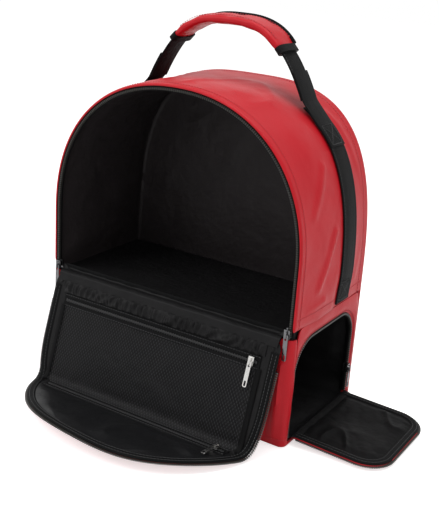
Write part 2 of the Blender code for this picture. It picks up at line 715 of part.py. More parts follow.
# ================================================================ sliders
def slider(name, frame, centre, material, with_back=True):
    """Front plate with a bail, and for an open chain a post and back plate."""
    u, v = centre
    half_w = SLIDER_W / 2
    half_l = SLIDER_L / 2
    front = -SEAT
    bm = bmesh.new()

    def block(low, high):
        made = bmesh.ops.create_cube(bm, size=1.0)["verts"]
        size = Vector(high) - Vector(low)
        bmesh.ops.scale(bm, vec=size, verts=made)
        bmesh.ops.translate(bm, vec=(Vector(high) + Vector(low)) / 2, verts=made)

    block((u - half_w, front - SLIDER_PLATE, v - half_l), (u + half_w, front, v + half_l))
    obj = add_object(name, bpy.data.meshes.new(name), material, frame)
    bm.to_mesh(obj.data)
    bm.free()
    bail_out = front - SLIDER_PLATE - BAIL_H
    parts = []
    half_b = BAIL_W / 2
    end_b = BAIL_L / 2
    parts.append(((u - half_b, bail_out, v - end_b),
                  (u + half_b, bail_out + BAIL_BAR, v + end_b)))
    for sign in (-1, 1):
        edge = sorted((v + sign * end_b, v + sign * (end_b - BAIL_BAR)))
        parts.append(((u - half_b, bail_out + BAIL_BAR / 2, edge[0]),
                      (u + half_b, front - SLIDER_PLATE + JOIN, edge[1])))
    if with_back:
        parts.append(((u - SLIDER_POST_W / 2, front - JOIN, v + half_l - SLIDER_POST_L),
                      (u + SLIDER_POST_W / 2, BACK_CHANNEL + JOIN, v + half_l)))
        parts.append(((u - half_w, BACK_CHANNEL, v - half_l),
                      (u + half_w, BACK_CHANNEL + SLIDER_BACK, v + half_l)))
    for k, (low, high) in enumerate(parts):
        cutter = box(f"{name}_join_{k}", low, high, material, frame, collection=CUTTERS)
        boolean(obj, cutter, "UNION")
    return obj


def pull(name, frame, length, material):
    """A flat pull with a slot at each end; its eye bar lies on the joint axis."""
    curve = bpy.data.curves.new(name, "CURVE")
    curve.dimensions = "2D"
    curve.fill_mode = "BOTH"
    curve.extrude = PULL_T / 2

    def loop(points):
        spline = curve.splines.new("POLY")
        spline.points.add(len(points) - 1)
        for point, (x, y) in zip(spline.points, points):
            point.co = (x, y, 0.0, 1.0)
        spline.use_cyclic_u = True

    def stadium(half_w, top, bottom, radius):
        pts = []
        for cx, cy, first in ((half_w - radius, top - radius, 0),
                              (-half_w + radius, top - radius, 90),
                              (-half_w + radius, bottom + radius, 180),
                              (half_w - radius, bottom + radius, 270)):
            for k in range(4):
                a = math.radians(first + 30 * k)
                pts.append((cx + radius * math.cos(a), cy + radius * math.sin(a)))
        return pts

    top = PULL_EYE / 2
    loop(stadium(PULL_W / 2, top, top - length, 0.0018))
    slot_top = top - PULL_EYE
    loop(stadium(PULL_SLOT_W / 2, slot_top, slot_top - PULL_SLOT_L, 0.0009))
    low = top - length + PULL_EYE
    loop(stadium(PULL_SLOT_W / 2, low + PULL_SLOT_L, low, 0.0012))
    guide = bpy.data.objects.new(name + "_outline", curve)
    BAG.objects.link(guide)
    depsgraph = bpy.context.evaluated_depsgraph_get()
    mesh = bpy.data.meshes.new_from_object(guide.evaluated_get(depsgraph))
    bpy.data.objects.remove(guide, do_unlink=True)
    bm = bmesh.new()
    bm.from_mesh(mesh)
    bmesh.ops.remove_doubles(bm, verts=bm.verts, dist=1e-6)
    bmesh.ops.rotate(bm, cent=(0, 0, 0), matrix=Matrix.Rotation(math.pi / 2, 3, "X"),
                     verts=bm.verts)
    bmesh.ops.recalc_face_normals(bm, faces=bm.faces)
    bm.to_mesh(mesh)
    bm.free()
    mesh.materials.clear()
    return add_object(name, mesh, material, frame)


def pull_axis(centre):
    """Eye bar of a pull in its slider's zip frame."""
    return Vector((centre[0], -SEAT - SLIDER_PLATE - EYE_LIFT, centre[1]))


def slider_with_pull(name, frame, centre, length, material, down, with_back=True, depth=0.0):
    """A slider and its pull, which hangs along the zip frame's -Z or +Z."""
    holder = bpy.data.objects.new(name + "_frame", None)
    BAG.objects.link(holder)
    holder.parent = frame
    holder.location = (0.0, depth, 0.0)
    slider(name + "_slider", holder, centre, material, with_back)
    pivot = bpy.data.objects.new(name + "_pull_axis", None)
    BAG.objects.link(pivot)
    pivot.parent = holder
    pivot.location = pull_axis(centre)
    if down > 0:
        pivot.rotation_euler = (math.pi, 0.0, 0.0)
    pull(name + "_pull", pivot, length, material)


# ================================================================ webbing
def handle_z(x):
    return HANDLE_TOP - HANDLE_DROP * (abs(x) / HANDLE_FOOT_X) ** HANDLE_POWER


def handle_slope(x):
    """Direction of the handle line, as (x, y, z)."""
    share = (abs(x) / HANDLE_FOOT_X) ** (HANDLE_POWER - 1)
    fall = HANDLE_DROP / HANDLE_FOOT_X * HANDLE_POWER * share
    return (1.0, 0.0, -math.copysign(fall, x))


def handle_line(x0, x1, count):
    dense = [(x, handle_z(x)) for x in np.linspace(x0, x1, 200)]
    return resample(dense, count)


def side_webbing(side):
    """Webbing sewn up a side, which leaves the arch towards the handle."""
    cols = 3
    sign = 1 if side == "right" else -1
    foot = np.array([HANDLE_FOOT_X, handle_z(HANDLE_FOOT_X)])
    slope = np.array([HANDLE_FOOT_X + 0.004, handle_z(HANDLE_FOOT_X + 0.004)]) - foot
    slope /= np.linalg.norm(slope)
    end = foot + slope * ROOT_GAP
    columns = []
    for c in range(cols):
        y = WEB_Y + WEB_W * (c / (cols - 1) - 0.5)
        line = resample(section(y), 161)[::-1]
        path = Path(line[:81], 161)
        points = []
        for d in np.linspace(0.0, path.length, 161):
            p = path.at(d, 0.0)
            out = path.at(d, WEB_SEAT)
            if out[0] < p[0]:
                out = 2 * p - out
            if p[1] > WEB_LOW_Z and p[0] > WEB_LEAVE_X:
                points.append(out)
        points = list(resample(points, 22))
        last = points[-1]
        for share in (0.5, 1.0):
            points.append(last + (end - last) * share)
        columns.append(points)
    verts = []
    for r in range(len(columns[0])):
        for c in range(cols):
            x, z = columns[c][r]
            y = WEB_Y + WEB_W * (c / (cols - 1) - 0.5)
            verts.append((sign * x, y, z))
    mesh_rows = len(columns[0])
    obj = sheet("side_webbing_" + side, verts, grid_faces(mesh_rows, cols), WEB_T, WEB_MAT,
                origin=(0, WEB_Y, 0.2))
    obj.modifiers["thickness"].offset = 1.0


def handle_pieces():
    half = WEB_W / 2
    foot = HANDLE_FOOT_X
    line = handle_line(-foot, foot, 181)
    run = np.concatenate([[0.0], np.cumsum(np.linalg.norm(np.diff(line, axis=0), axis=1))])
    total = run[-1]
    ends = [FOOT_TIP] + [half * share for share in FOOT_SHARES]
    middle = list(np.linspace(half * 1.37, total - half * 1.37, 25))
    distances = ends + middle + [total - e for e in ends][::-1]
    centres = []
    widths = []
    for d in distances:
        x, z = [np.interp(d, run, line[:, k]) for k in (0, 1)]
        centres.append((x, WEB_Y - PIVOT[1], z - PIVOT[2]))
        reach = min(max(min(d, total - d), 4 * FOOT_TIP), half)
        widths.append(2 * math.sqrt(half ** 2 - (half - reach) ** 2))
    ribbon("handle_webbing", centres, widths, [HANDLE_WEB_T] * len(centres), WEB_MAT, HANDLE)

    def sleeve(name, x0, x1, width, thickness, material, count, rounded=True):
        pts = [(x, WEB_Y - PIVOT[1], z - PIVOT[2]) for x, z in handle_line(x0, x1, count)]
        outer = ribbon(name, pts, [width] * count, [thickness] * count, material, HANDLE,
                       rounded=rounded, tangents=[handle_slope(p[0]) for p in pts])
        long = handle_line(x0 - BORE_MARGIN, x1 + BORE_MARGIN, count + 2)
        pts = [(x, WEB_Y - PIVOT[1], z - PIVOT[2]) for x, z in long]
        bore = ribbon(name + "_bore", pts, [WEB_W + 2 * GRIP_BORE] * len(pts),
                      [HANDLE_WEB_T + 2 * GRIP_BORE] * len(pts), material, HANDLE,
                      collection=CUTTERS)
        boolean(outer, bore)

    sleeve("handle_grip", -GRIP_HALF, GRIP_HALF, GRIP_W, GRIP_T, RED_MAT, 15)
    for side, sign in (("left", -1), ("right", 1)):
        inner = sign * (GRIP_HALF + SEAT)
        outer = sign * (GRIP_HALF + SEAT + COLLAR_L * 0.72)
        sleeve("handle_collar_" + side, min(inner, outer), max(inner, outer),
               GRIP_W + COLLAR_EXTRA, GRIP_T + COLLAR_EXTRA, WEB_MAT, 3)


def strap_point(share, side):
    z = STRAP_TOP_Z + (STRAP_LOW_Z - STRAP_TOP_Z) * share
    y = STRAP_Y0 + (STRAP_Y1 - STRAP_Y0) * share + 4 * STRAP_BOW * share * (1 - share)
    x = side * (STRAP_X_TOP + (STRAP_X_LOW - STRAP_X_TOP) * share)
    return np.array([x, y, z])


def strap_across(side):
    """Direction across a strap, square to its line and level with the back."""
    run = Vector((STRAP_TOP_Z - STRAP_LOW_Z, 0.0, side * (STRAP_X_LOW - STRAP_X_TOP)))
    return run.normalized()


def strap_pieces(side_name, side, frame):
    origin = np.array(frame.matrix_world.translation)
    shares = np.linspace(0.0, STRAP_PAD_END, 17)
    centres = [strap_point(s, side) - origin for s in shares]
    widths = []
    for s in shares:
        end = min(s, STRAP_PAD_END - s) / STRAP_PAD_END
        widths.append(STRAP_W * (0.62 + 0.38 * min(1.0, end * 6)))
    ribbon("shoulder_strap_" + side_name, centres, widths, [STRAP_T] * 17, MESH_MAT, frame,
           side=strap_across(side), rounded=True)
    shares = np.linspace(STRAP_PAD_END + STRAP_JOIN, 1.0, 10)
    centres = [strap_point(s, side) - origin for s in shares]
    ribbon("strap_webbing_" + side_name, centres, [STRAP_WEB_W] * 10, [STRAP_WEB_T] * 10,
           WEB_MAT, frame, side=strap_across(side))
    ladder_lock("ladder_lock_" + side_name, side, frame, origin)


def ladder_lock(name, side, frame, origin):
    """A flat buckle with two slots, lying on the strap webbing."""
    share = STRAP_PAD_END + 0.055
    here = strap_point(share, side) - origin
    ahead = strap_point(share + 0.01, side) - strap_point(share - 0.01, side)
    along = Vector(ahead).normalized()
    across = strap_across(side)
    out = along.cross(across)
    if out.y < 0:
        out = -out
    turn = Matrix((across, along, across.cross(along))).transposed().to_4x4()
    lift = STRAP_WEB_T / 2 + SEAT + LOCK_T / 2
    matrix = Matrix.Translation(Vector(here) + out * lift) @ turn
    body = box(name, (-LOCK_W / 2, -LOCK_L / 2, -LOCK_T / 2),
               (LOCK_W / 2, LOCK_L / 2, LOCK_T / 2), PLASTIC_MAT, frame)
    body.matrix_local = matrix
    slot = (LOCK_L - 3 * LOCK_BAR) / 2
    half = LOCK_W / 2 - LOCK_BAR
    for k in range(2):
        v0 = -LOCK_L / 2 + LOCK_BAR + k * (slot + LOCK_BAR)
        cutter = box(f"{name}_slot_{k}", (-half, v0, -LOCK_T), (half, v0 + slot, LOCK_T),
                     PLASTIC_MAT, frame, collection=CUTTERS)
        cutter.matrix_local = matrix
        boolean(body, cutter)


def strap_tab(side_name, side):
    """Sewn tab at the foot of a shoulder strap."""
    x = side * STRAP_X_LOW
    z1 = STRAP_LOW_Z + TAB_LAP
    y = HALF_D + SEAT
    outline = [(x - TAB_W * 0.36, z1), (x + TAB_W * 0.36, z1), (x + TAB_W / 2, z1 - TAB_H),
               (x - TAB_W / 2, z1 - TAB_H)]
    verts = [(u, y + TAB_T, v) for u, v in outline]
    sheet("strap_tab_" + side_name, verts, [(0, 1, 2, 3)], TAB_T, WEB_MAT,
          direction=(0, 1, 0))


# ================================================================ assembly
clear_scene()
BAG = new_collection("boot_bag")
CUTTERS = new_collection("cutters")

RED_MAT = fabric("red_coated_fabric", RED, 0.42)
LINING_MAT = fabric("black_lining", LINING_BLACK, 0.60)
WEB_MAT = fabric("black_webbing", BLACK, 0.70)
MESH_MAT = fabric("black_mesh", MESH_BLACK, 0.80)
TEETH_MAT = fabric("black_coil", BLACK, 0.35)
PLASTIC_MAT = fabric("black_plastic", BLACK, 0.45)
NICKEL_MAT = fabric("bright_nickel", NICKEL, 0.22, 1.0)
GUN_MAT = fabric("black_nickel", GUNMETAL, 0.28, 1.0)

FRONT_SIDE = frame_at("front_zip_frame", (0.0, PLANE_Y, 0.0))
DOOR_SIDE = frame_at("boot_zip_frame", (HALF_W, 0.0, 0.0), Matrix.Rotation(math.pi / 2, 4, "Z"))
FLAP = frame_at("flap_hinge", (0.0, PLANE_Y, HINGE_Z), Matrix.Rotation(FLAP_TURN, 4, "X"))
FOLD_PLACE = FLAP.matrix_world @ Vector((0.0, FOLD_AXIS, FLAP_FOLD))
FLAP_END = frame_at("flap_fold", FOLD_PLACE, Matrix.Rotation(END_TURN, 4, "X"))
DOOR = frame_at("boot_door_hinge", (HALF_W, 0.0, DOOR_HINGE_Z),
                Matrix.Rotation(DOOR_TURN, 4, "Y") @ Matrix.Rotation(math.pi / 2, 4, "Z"))
PIVOT = (0.0, WEB_Y, handle_z(HANDLE_FOOT_X) + PIVOT_RISE)
HANDLE = frame_at("carry_handle_pivot", PIVOT)
STRAP_LEFT = frame_at("strap_pivot_left", (-STRAP_X_TOP, STRAP_Y0, STRAP_TOP_Z))
STRAP_RIGHT = frame_at("strap_pivot_right", (STRAP_X_TOP, STRAP_Y0, STRAP_TOP_Z))

base_and_floor()
lower_walls()
arch_panel()
back_pieces()
linings()
body_chain("main_zip", front_path(), FRONT_SIDE, TAPE_EDGE, 0.0)
body_chain("boot_zip", door_path(), DOOR_SIDE, TAPE_EDGE, 0.0, centre=-ZIP_INSET)
flap_upper_pieces()
flap_end_pieces()
door_pieces()
SLIDER_U = HALF_W - ZIP_INSET
SLIDER_V = HINGE_Z + SLIDER_PARK_Z
slider_with_pull("main_left", FRONT_SIDE, (-SLIDER_U, SLIDER_V), PULL_L, GUN_MAT, -1)
slider_with_pull("main_right", FRONT_SIDE, (SLIDER_U, SLIDER_V), PULL_L, GUN_MAT, -1)
slider_with_pull("boot_zip", DOOR_SIDE, (DOOR_Y1, DOOR_HINGE_Z + BOOT_PARK_Z), BOOT_PULL_L,
                 GUN_MAT, -1)


def pocket_slider(name, frame, u, s, depth):
    """Pocket sliders lie on the inner face, so their frame is turned over."""
    holder = bpy.data.objects.new(name + "_seat", None)
    BAG.objects.link(holder)
    holder.parent = frame
    holder.location = (u, depth, s)
    holder.rotation_euler = (0.0, 0.0, math.pi)
    slider_with_pull(name, holder, (0.0, 0.0), POCKET_PULL_L, NICKEL_MAT, 1, with_back=False)


pocket_slider("pocket_upper", FLAP, POCKET_HALF - POCKET_SLIDER_IN, UPPER_ZIP_S,
              COIL_DEPTH + COIL_T)
pocket_slider("pocket_lower", FLAP_END, POCKET_HALF - LOWER_SLIDER_IN, LOWER_ZIP_S,
              COIL_DEPTH + COIL_T - FOLD_AXIS)
for NAME in ("left", "right"):
    side_webbing(NAME)
handle_pieces()
for NAME, SIDE, FRAME in (("left", -1, STRAP_LEFT), ("right", 1, STRAP_RIGHT)):
    strap_pieces(NAME, SIDE, FRAME)
    strap_tab(NAME, SIDE)
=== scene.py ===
"""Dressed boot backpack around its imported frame.

Metres, +Z up, the front faces -Y, the boot door opens to +X.
Zip frames: u along the hinge line, d into the bag from the closed cover's face,
s along the cover from its hinge.
"""

import math

import bmesh
import bpy
import numpy as np
from mathutils import Matrix, Vector, noise


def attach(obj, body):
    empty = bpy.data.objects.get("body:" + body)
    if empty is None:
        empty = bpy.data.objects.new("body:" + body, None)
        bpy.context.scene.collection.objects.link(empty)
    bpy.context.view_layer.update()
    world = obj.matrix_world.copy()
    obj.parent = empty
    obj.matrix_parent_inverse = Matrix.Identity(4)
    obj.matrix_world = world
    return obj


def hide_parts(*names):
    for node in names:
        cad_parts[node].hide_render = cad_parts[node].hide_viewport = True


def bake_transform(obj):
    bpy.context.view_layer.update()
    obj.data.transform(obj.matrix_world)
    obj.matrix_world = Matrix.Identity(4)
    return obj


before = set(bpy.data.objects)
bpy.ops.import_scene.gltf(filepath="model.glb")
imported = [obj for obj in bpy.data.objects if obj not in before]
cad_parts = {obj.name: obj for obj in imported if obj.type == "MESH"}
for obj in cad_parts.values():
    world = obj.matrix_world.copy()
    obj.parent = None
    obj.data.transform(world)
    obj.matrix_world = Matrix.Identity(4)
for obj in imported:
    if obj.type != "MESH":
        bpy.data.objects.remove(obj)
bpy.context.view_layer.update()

# ---------------------------------------------------------------- sizes
HALF_W = 0.195
HALF_D = 0.099
TOP_Z = 0.438
BACK_TOP = 0.437
HINGE_Z = 0.151
SEAM_Z = 0.162
SPRING_Z = 0.240
FRONT_POWER = 2.2
BACK_POWER = 3.1
PLANE_Y = -0.0993
WALL_END = 0.0974                  # side walls reach this far back, beside the back panel
FLOOR_Z = 0.150
FOLD_S = 0.155
FOLD_D = 0.0036
BEND = 0.016                       # the soft bend reaches this far to each side of the fold
LAYER_D = 0.0038                   # inner face of an open cover's lining
FLAP_TURN = math.radians(162)
END_TURN = math.radians(81)
DOOR_TURN = math.radians(92)
DOOR_Z = 0.008
DOOR_FRONT = -0.084
DOOR_BACK = 0.082
DOOR_H = 0.130
DOOR_R = 0.040
NET_HALF = 0.160                   # the net's half width, and its span along the flap
NET_LOW = 0.045
NET_HIGH = 0.160
STRIP_HALF = 0.164
WEB_Y = 0.030
WEB_W = 0.038
WEB_SEAM = 0.0165                  # stitches off the middle of the webbing
HANDLE_TOP = 0.5125
HANDLE_FALL = 42.6
HANDLE_POWER = 2.894
HANDLE_FOOT = 0.122
GRIP_HALF = 0.078
STRAP_Y0 = 0.1038
STRAP_Y1 = 0.1024
STRAP_TOP = 0.402
STRAP_LOW = 0.056
STRAP_BOW = 0.036
STRAP_PAD = 0.62                   # share of a strap that is padded
STRAP_X = (0.078, 0.132)
YOKE_Z = 0.3955
YOKE_H = 0.014
STITCH_R = 0.00042
STITCH_LIFT = 0.0002
STEP = 0.001                       # reach that finds the way out of a cover's face

UP = np.array([0.0, 0.0, 1.0])
FRONT = np.array([0.0, -1.0, 0.0])
RIGHT = np.array([1.0, 0.0, 0.0])
BACKWARD = np.array([0.0, 1.0, 0.0])
INSIDE = np.array([0.0, -0.5, 0.8])  # the open flap's lining faces this way
HINGE_UP = np.array([0.0, -0.4, 0.9])
SIDES = ((-1, "left"), (1, "right"))


# ================================================================ lines
def points(x, y, z):
    """Numbers or arrays as an array of places."""
    return np.stack(np.broadcast_arrays(x, y, z), axis=-1).astype(float)


def run_of(line):
    """Length along a line up to each of its points."""
    steps = np.linalg.norm(np.diff(line, axis=0), axis=1)
    return np.concatenate([[0.0], np.cumsum(steps)])


def at_run(values, run, want):
    return np.stack([np.interp(want, run, column) for column in values.T], axis=-1)


def resample(line, count):
    line = np.asarray(line, float)
    run = run_of(line)
    return at_run(line, run, np.linspace(0.0, run[-1], count))


def unit(v):
    return v / np.maximum(np.linalg.norm(v, axis=-1, keepdims=True), 1e-12)


def tangents(line):
    return unit(np.gradient(line, axis=0))


def inward(line):
    """Normals of a left-to-right flat line that look into the cover."""
    t = tangents(line)
    return np.stack([t[:, 1], -t[:, 0]], axis=1)


def arch(half, spring, rise, power, low, count=240):
    """Open arch from low left over the top to low right, as (x, z)."""
    a = np.linspace(math.pi, 0.0, count)
    c, s = np.cos(a), np.sin(a)
    x = half * np.sign(c) * np.abs(c) ** (2.0 / power)
    z = spring + rise * np.abs(s) ** (2.0 / power)
    pts = np.stack([x, z], axis=1)
    if low < spring:
        pts = np.concatenate([[[-half, low]], pts, [[half, low]]])
    return pts


def section(y, low, count):
    """Outline of the bag's top at a depth."""
    share = (y - PLANE_Y) / (HALF_D - PLANE_Y)
    spring = SPRING_Z * (1 - share) + SEAM_Z * share
    top = TOP_Z * (1 - share) + BACK_TOP * share
    power = FRONT_POWER * (1 - share) + BACK_POWER * share
    return resample(arch(HALF_W, spring, top - spring, power, low), count)


def front_line(inset, count, low=HINGE_Z + 0.0015):
    line = resample(arch(HALF_W, SPRING_Z, TOP_Z - SPRING_Z, FRONT_POWER, low), count)
    return line + inward(line) * inset


def back_line(inset, low):
    return arch(HALF_W - inset, SEAM_Z, BACK_TOP - SEAM_Z - inset, BACK_POWER, low, 300)


def door_line(inset, count=260):
    """Zip centre line of the boot opening, as (y, z)."""
    centre_z = DOOR_Z + DOOR_H - DOOR_R
    pts = [(DOOR_FRONT, DOOR_Z + 0.0025)]
    for y, first in ((DOOR_FRONT + DOOR_R, math.pi), (DOOR_BACK - DOOR_R, math.pi / 2)):
        for a in first - np.arange(13) * math.pi / 24:
            pts.append((y + DOOR_R * math.cos(a), centre_z + DOOR_R * math.sin(a)))
    pts.append((DOOR_BACK, DOOR_Z + 0.0025))
    line = resample(pts, count)
    return line + inward(line) * inset


# ================================================================ zip frames
def turned(angle, origin, s, d):
    """(y, z) of a point at s along and d into a cover that has opened by an angle."""
    return (origin[0] + d * math.cos(angle) - s * math.sin(angle),
            origin[1] + d * math.sin(angle) + s * math.cos(angle))


HINGE = (PLANE_Y, HINGE_Z)
FOLD = turned(FLAP_TURN, HINGE, FOLD_S, FOLD_D)


def flap_at(x, s, d):
    """World place of a flap point; the flap bends softly at its fold, and its end curls."""
    low, high = FOLD_S - BEND, FOLD_S + BEND
    reach = max(0.0, s - high - 0.010) / 0.09
    d = d + reach * reach * (0.0036 * math.sin(21.0 * x + 2.83) - 0.0010)
    if s <= low:
        return (x, *turned(FLAP_TURN, HINGE, s, d))
    if s >= high:
        return (x, *turned(END_TURN, FOLD, s - FOLD_S, d - FOLD_D))
    k = (s - low) / (high - low)
    a = np.array(turned(FLAP_TURN, HINGE, low, FOLD_D))
    c = np.array(turned(END_TURN, FOLD, BEND, 0.0))
    p = a * (1 - k) ** 2 + np.array(FOLD) * 2 * k * (1 - k) + c * k * k
    turn = FLAP_TURN + (END_TURN - FLAP_TURN) * (k * k * (3 - 2 * k))
    return (x, p[0] + (d - FOLD_D) * math.cos(turn), p[1] + (d - FOLD_D) * math.sin(turn))


def front_at(x, v, d):
    return (x, PLANE_Y + d, v)


def side_at(y, v, d):
    return (HALF_W - d, y, v)


def door_at(y, s, d):
    c, n = math.cos(DOOR_TURN), math.sin(DOOR_TURN)
    return (HALF_W - d * c + s * n, y, DOOR_Z + d * n + s * c)


# zones: the frame, the height of its s = 0, and which way its teeth look along d
MAIN_ZONE = (front_at, 0.0, -1.0)
BOOT_ZONE = (side_at, 0.0, -1.0)
FLAP_ZONE = (flap_at, HINGE_Z, 1.0)
DOOR_ZONE = (door_at, DOOR_Z, 1.0)
FLAP = ("front_flap", "flap_end", flap_at(0.0, FOLD_S - BEND, 0.0),
        flap_at(0.0, FOLD_S + BEND, 0.0))


def laid(at, u, s, d):
    """Points of a zip frame, for numbers or arrays."""
    given = points(u, s, d)
    return np.array([at(*p) for p in given.reshape(-1, 3)]).reshape(given.shape)


def raised(at, u, s, d, step=STEP):
    """Points of a zip frame and the way out of them."""
    here = laid(at, u, s, d)
    return here, unit(laid(at, u, s, d + step) - here)


def rails(line, rows, zone):
    """Points that follow a flat line, one row for each (inset, depth)."""
    at, base, _ = zone
    lines = [line + inward(line) * inset for inset, _ in rows]
    return np.array([laid(at, p[:, 0], p[:, 1] - base, row[1]) for p, row in zip(lines, rows)])


def beside(line, inset, depth, zone):
    """A line beside a zip and the way out of its cover."""
    at, base, way = zone
    pts = line + inward(line) * inset
    return raised(at, pts[:, 0], pts[:, 1] - base, depth, way * STEP)


def wave(grid, scale, seed, stretch=(1.0, 1.0, 1.0)):
    """Smooth noise, about -1 to 1, at the points."""
    flat = grid.reshape(-1, 3) * np.array(stretch) * scale
    out = [noise.noise(Vector((p[0] + seed, p[1] - seed, p[2] + 0.37 * seed))) for p in flat]
    return np.array(out).reshape(grid.shape[:-1]) * 1.6


def ridges(grid, scale, seed, stretch, width):
    """1 on thin wandering lines, 0 away from them."""
    return np.clip(1 - np.abs(wave(grid, scale, seed, stretch)) / width, 0, 1)


def ease(value, low, high):
    k = np.clip((value - low) / (high - low), 0.0, 1.0)
    return k * k * (3 - 2 * k)


def bell(value, centre, width):
    return np.exp(-((value - centre) / width) ** 2)


def make_mesh(name, verts, faces, uvs, material):
    mesh = bpy.data.meshes.new(name)
    mesh.from_pydata(np.reshape(verts, (-1, 3)).tolist(), [], faces)
    mesh.update()
    if uvs is not None:
        layer = mesh.uv_layers.new(name="UVMap")
        index = np.zeros(len(mesh.loops), np.int32)
        mesh.loops.foreach_get("vertex_index", index)
        layer.data.foreach_set("uv", np.asarray(uvs, np.float32)[index].ravel())
    mesh.materials.append(material)
    obj = bpy.data.objects.new(name, mesh)
    bpy.context.scene.collection.objects.link(obj)
    mesh.shade_smooth()
    mesh.set_sharp_from_angle(angle=math.radians(48))
    return obj


def place(obj, body, *nodes):
    """Let a piece ride a body; a piece for a (body, body, start, end) only gets its place baked
    into its mesh. Hide its nodes.
    """
    if isinstance(body, tuple):
        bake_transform(obj)
    else:
        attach(obj, body)
    if nodes:
        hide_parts(*nodes)


def facing(grid, toward):
    """Unit normals of a grid on the side that looks the given way."""
    n = unit(np.cross(np.gradient(grid, axis=1), np.gradient(grid, axis=0)))
    return n if np.sum(n * toward) > 0 else -n


def cloth(name, grid, thickness, material, toward):
    """A closed sheet whose visible face is the grid and looks the given way."""
    rows, cols = grid.shape[:2]
    normals = facing(grid, toward)
    index = np.arange(rows * cols).reshape(rows, cols)
    cells = np.stack([index[:-1, :-1], index[:-1, 1:], index[1:, 1:], index[1:, :-1]], axis=-1)
    cells = cells.reshape(-1, 4)
    ring = np.concatenate([index[0], index[1:, -1], index[-1, -2::-1], index[-2:0:-1, 0]])
    after = np.roll(ring, -1)
    off = rows * cols
    faces = np.stack([cells, cells[:, ::-1] + off], axis=1).reshape(-1, 4)
    rim = np.stack([after, ring, ring + off, after + off], axis=1)
    natural = np.cross(np.gradient(grid, axis=1), np.gradient(grid, axis=0))
    way = 1 if np.sum(natural * normals) > 0 else -1
    faces = np.concatenate([faces, rim])[:, ::way].tolist()
    uv = np.stack(np.meshgrid(run_of(grid[rows // 2]), run_of(grid[:, cols // 2])), axis=-1)
    uv = np.tile(uv.reshape(-1, 2), (2, 1))
    return make_mesh(name, [grid, grid - normals * thickness], faces, uv, material)


def sweep(name, line, normals, profile, material, scale=None):
    """A profile of (across, up) points carried along a line."""
    profile = np.asarray(profile, float)
    count, m = len(line), len(profile)
    t = tangents(line)
    across = unit(np.cross(t, np.broadcast_to(normals, line.shape)))
    up = np.cross(across, t)
    size = profile[None] * (np.ones((count, 1, 2)) if scale is None else scale[:, None])
    verts = line[:, None] + across[:, None] * size[..., :1] + up[:, None] * size[..., 1:]
    here = np.arange(count * m).reshape(count, m)
    after = np.roll(here, -1, axis=1)
    quads = np.stack([here[1:], after[1:], after[:-1], here[:-1]], axis=-1).reshape(-1, 4)
    faces = quads.tolist() + [here[0].tolist(), here[-1, ::-1].tolist()]
    uv = np.stack([np.repeat(run_of(line), m), np.tile(profile[:, 0], count)], axis=1)
    return make_mesh(name, verts, faces, uv, material)


def flat_profile(width, thick):
    """A band with rounded long edges."""
    w, t = width / 2, thick / 2
    e, low = min(w, thick * 0.35), t * 0.35
    return [(-w, -low), (-w + e, -t), (0, -t), (w - e, -t), (w, -low),
            (w, low), (w - e, t), (0, t), (-w + e, t), (-w, low)]


def oval(width, thick, power, sides):
    """Cross-section of a padded band, round where its power is 2."""
    pts = []
    for a in np.arange(sides) * 2 * math.pi / sides:
        c, s = math.cos(a), math.sin(a)
        pts.append((width / 2 * math.copysign(abs(c) ** (2 / power), c),
                    thick / 2 * math.copysign(abs(s) ** (2 / power), s)))
    return pts


def scatter(name, groups, material, mapped=True):
    """Copies of small shapes: (places, axes with rows x, y, z, (verts, faces)) for each."""
    verts, faces, base = [], [], 0
    for places, axes, (shape, unit_faces) in groups:
        shape = np.array(shape, float)
        verts.append((places[:, None] + np.einsum("vk,nkj->nvj", shape, axes)).reshape(-1, 3))
        for start in base + np.arange(len(places)) * len(shape):
            faces += [tuple(int(start) + i for i in f) for f in unit_faces]
        base += len(verts[-1])
    uv = np.zeros((base, 2)) if mapped else None
    obj = make_mesh(name, np.concatenate(verts), faces, uv, material)
    bm = bmesh.new()
    bm.from_mesh(obj.data)
    if bm.calc_volume(signed=True) < 0:
        bmesh.ops.reverse_faces(bm, faces=bm.faces)
        bm.to_mesh(obj.data)
    bm.free()
    return obj


def frames_on(line, normals, pitch):
    """Evenly spaced places on a line with their along, across and up axes."""
    run = run_of(line)
    count = max(1, int(run[-1] / pitch))
    want = (run[-1] - (count - 1) * pitch) / 2 + np.arange(count) * pitch
    along = unit(at_run(tangents(line), run, want))
    across = unit(np.cross(along, at_run(np.broadcast_to(normals, line.shape), run, want)))
    return at_run(line, run, want), np.stack([along, across, np.cross(across, along)], axis=1)


def tooth(length, width, height):
    """A block whose upper face is narrower. x along, y across, z up."""
    a, b, h = length / 2, width / 2, height / 2
    corners = ((-1, -1), (1, -1), (1, 1), (-1, 1))
    verts = [(x * a * k, y * b * k, z) for k, z in ((1, -h), (1, 0.3 * h), (0.7, h))
             for x, y in corners]
    faces = [(3, 2, 1, 0), (8, 9, 10, 11)]
    for base in (0, 4):
        for k in range(4):
            j = (k + 1) % 4
            faces.append((base + k, base + j, base + 4 + j, base + 4 + k))
    return verts, faces


def spindle(length):
    """A stitch: a short thick thread with sunk ends."""
    a, b, r = length / 2, length * 0.30, STITCH_R
    verts = [(-a, 0, -r * 0.6)]
    for x in (-b, b):
        verts += [(x, -r, 0), (x, 0, -r), (x, r, 0), (x, 0, r)]
    verts.append((a, 0, -r * 0.6))
    faces = []
    for k in range(4):
        j = (k + 1) % 4
        faces += [(0, 1 + j, 1 + k), (1 + k, 1 + j, 5 + j, 5 + k), (5 + k, 5 + j, 9)]
    return verts, faces


STITCHES = {}


def stitch(body, thread, line, normals, pitch=0.0042, length=0.0034):
    """Collect a row of stitches; rows of one body and thread become one piece."""
    places, axes = frames_on(line, normals, pitch)
    row = (places + axes[:, 2] * STITCH_LIFT, axes, spindle(length))
    STITCHES.setdefault((body, thread), []).append(row)


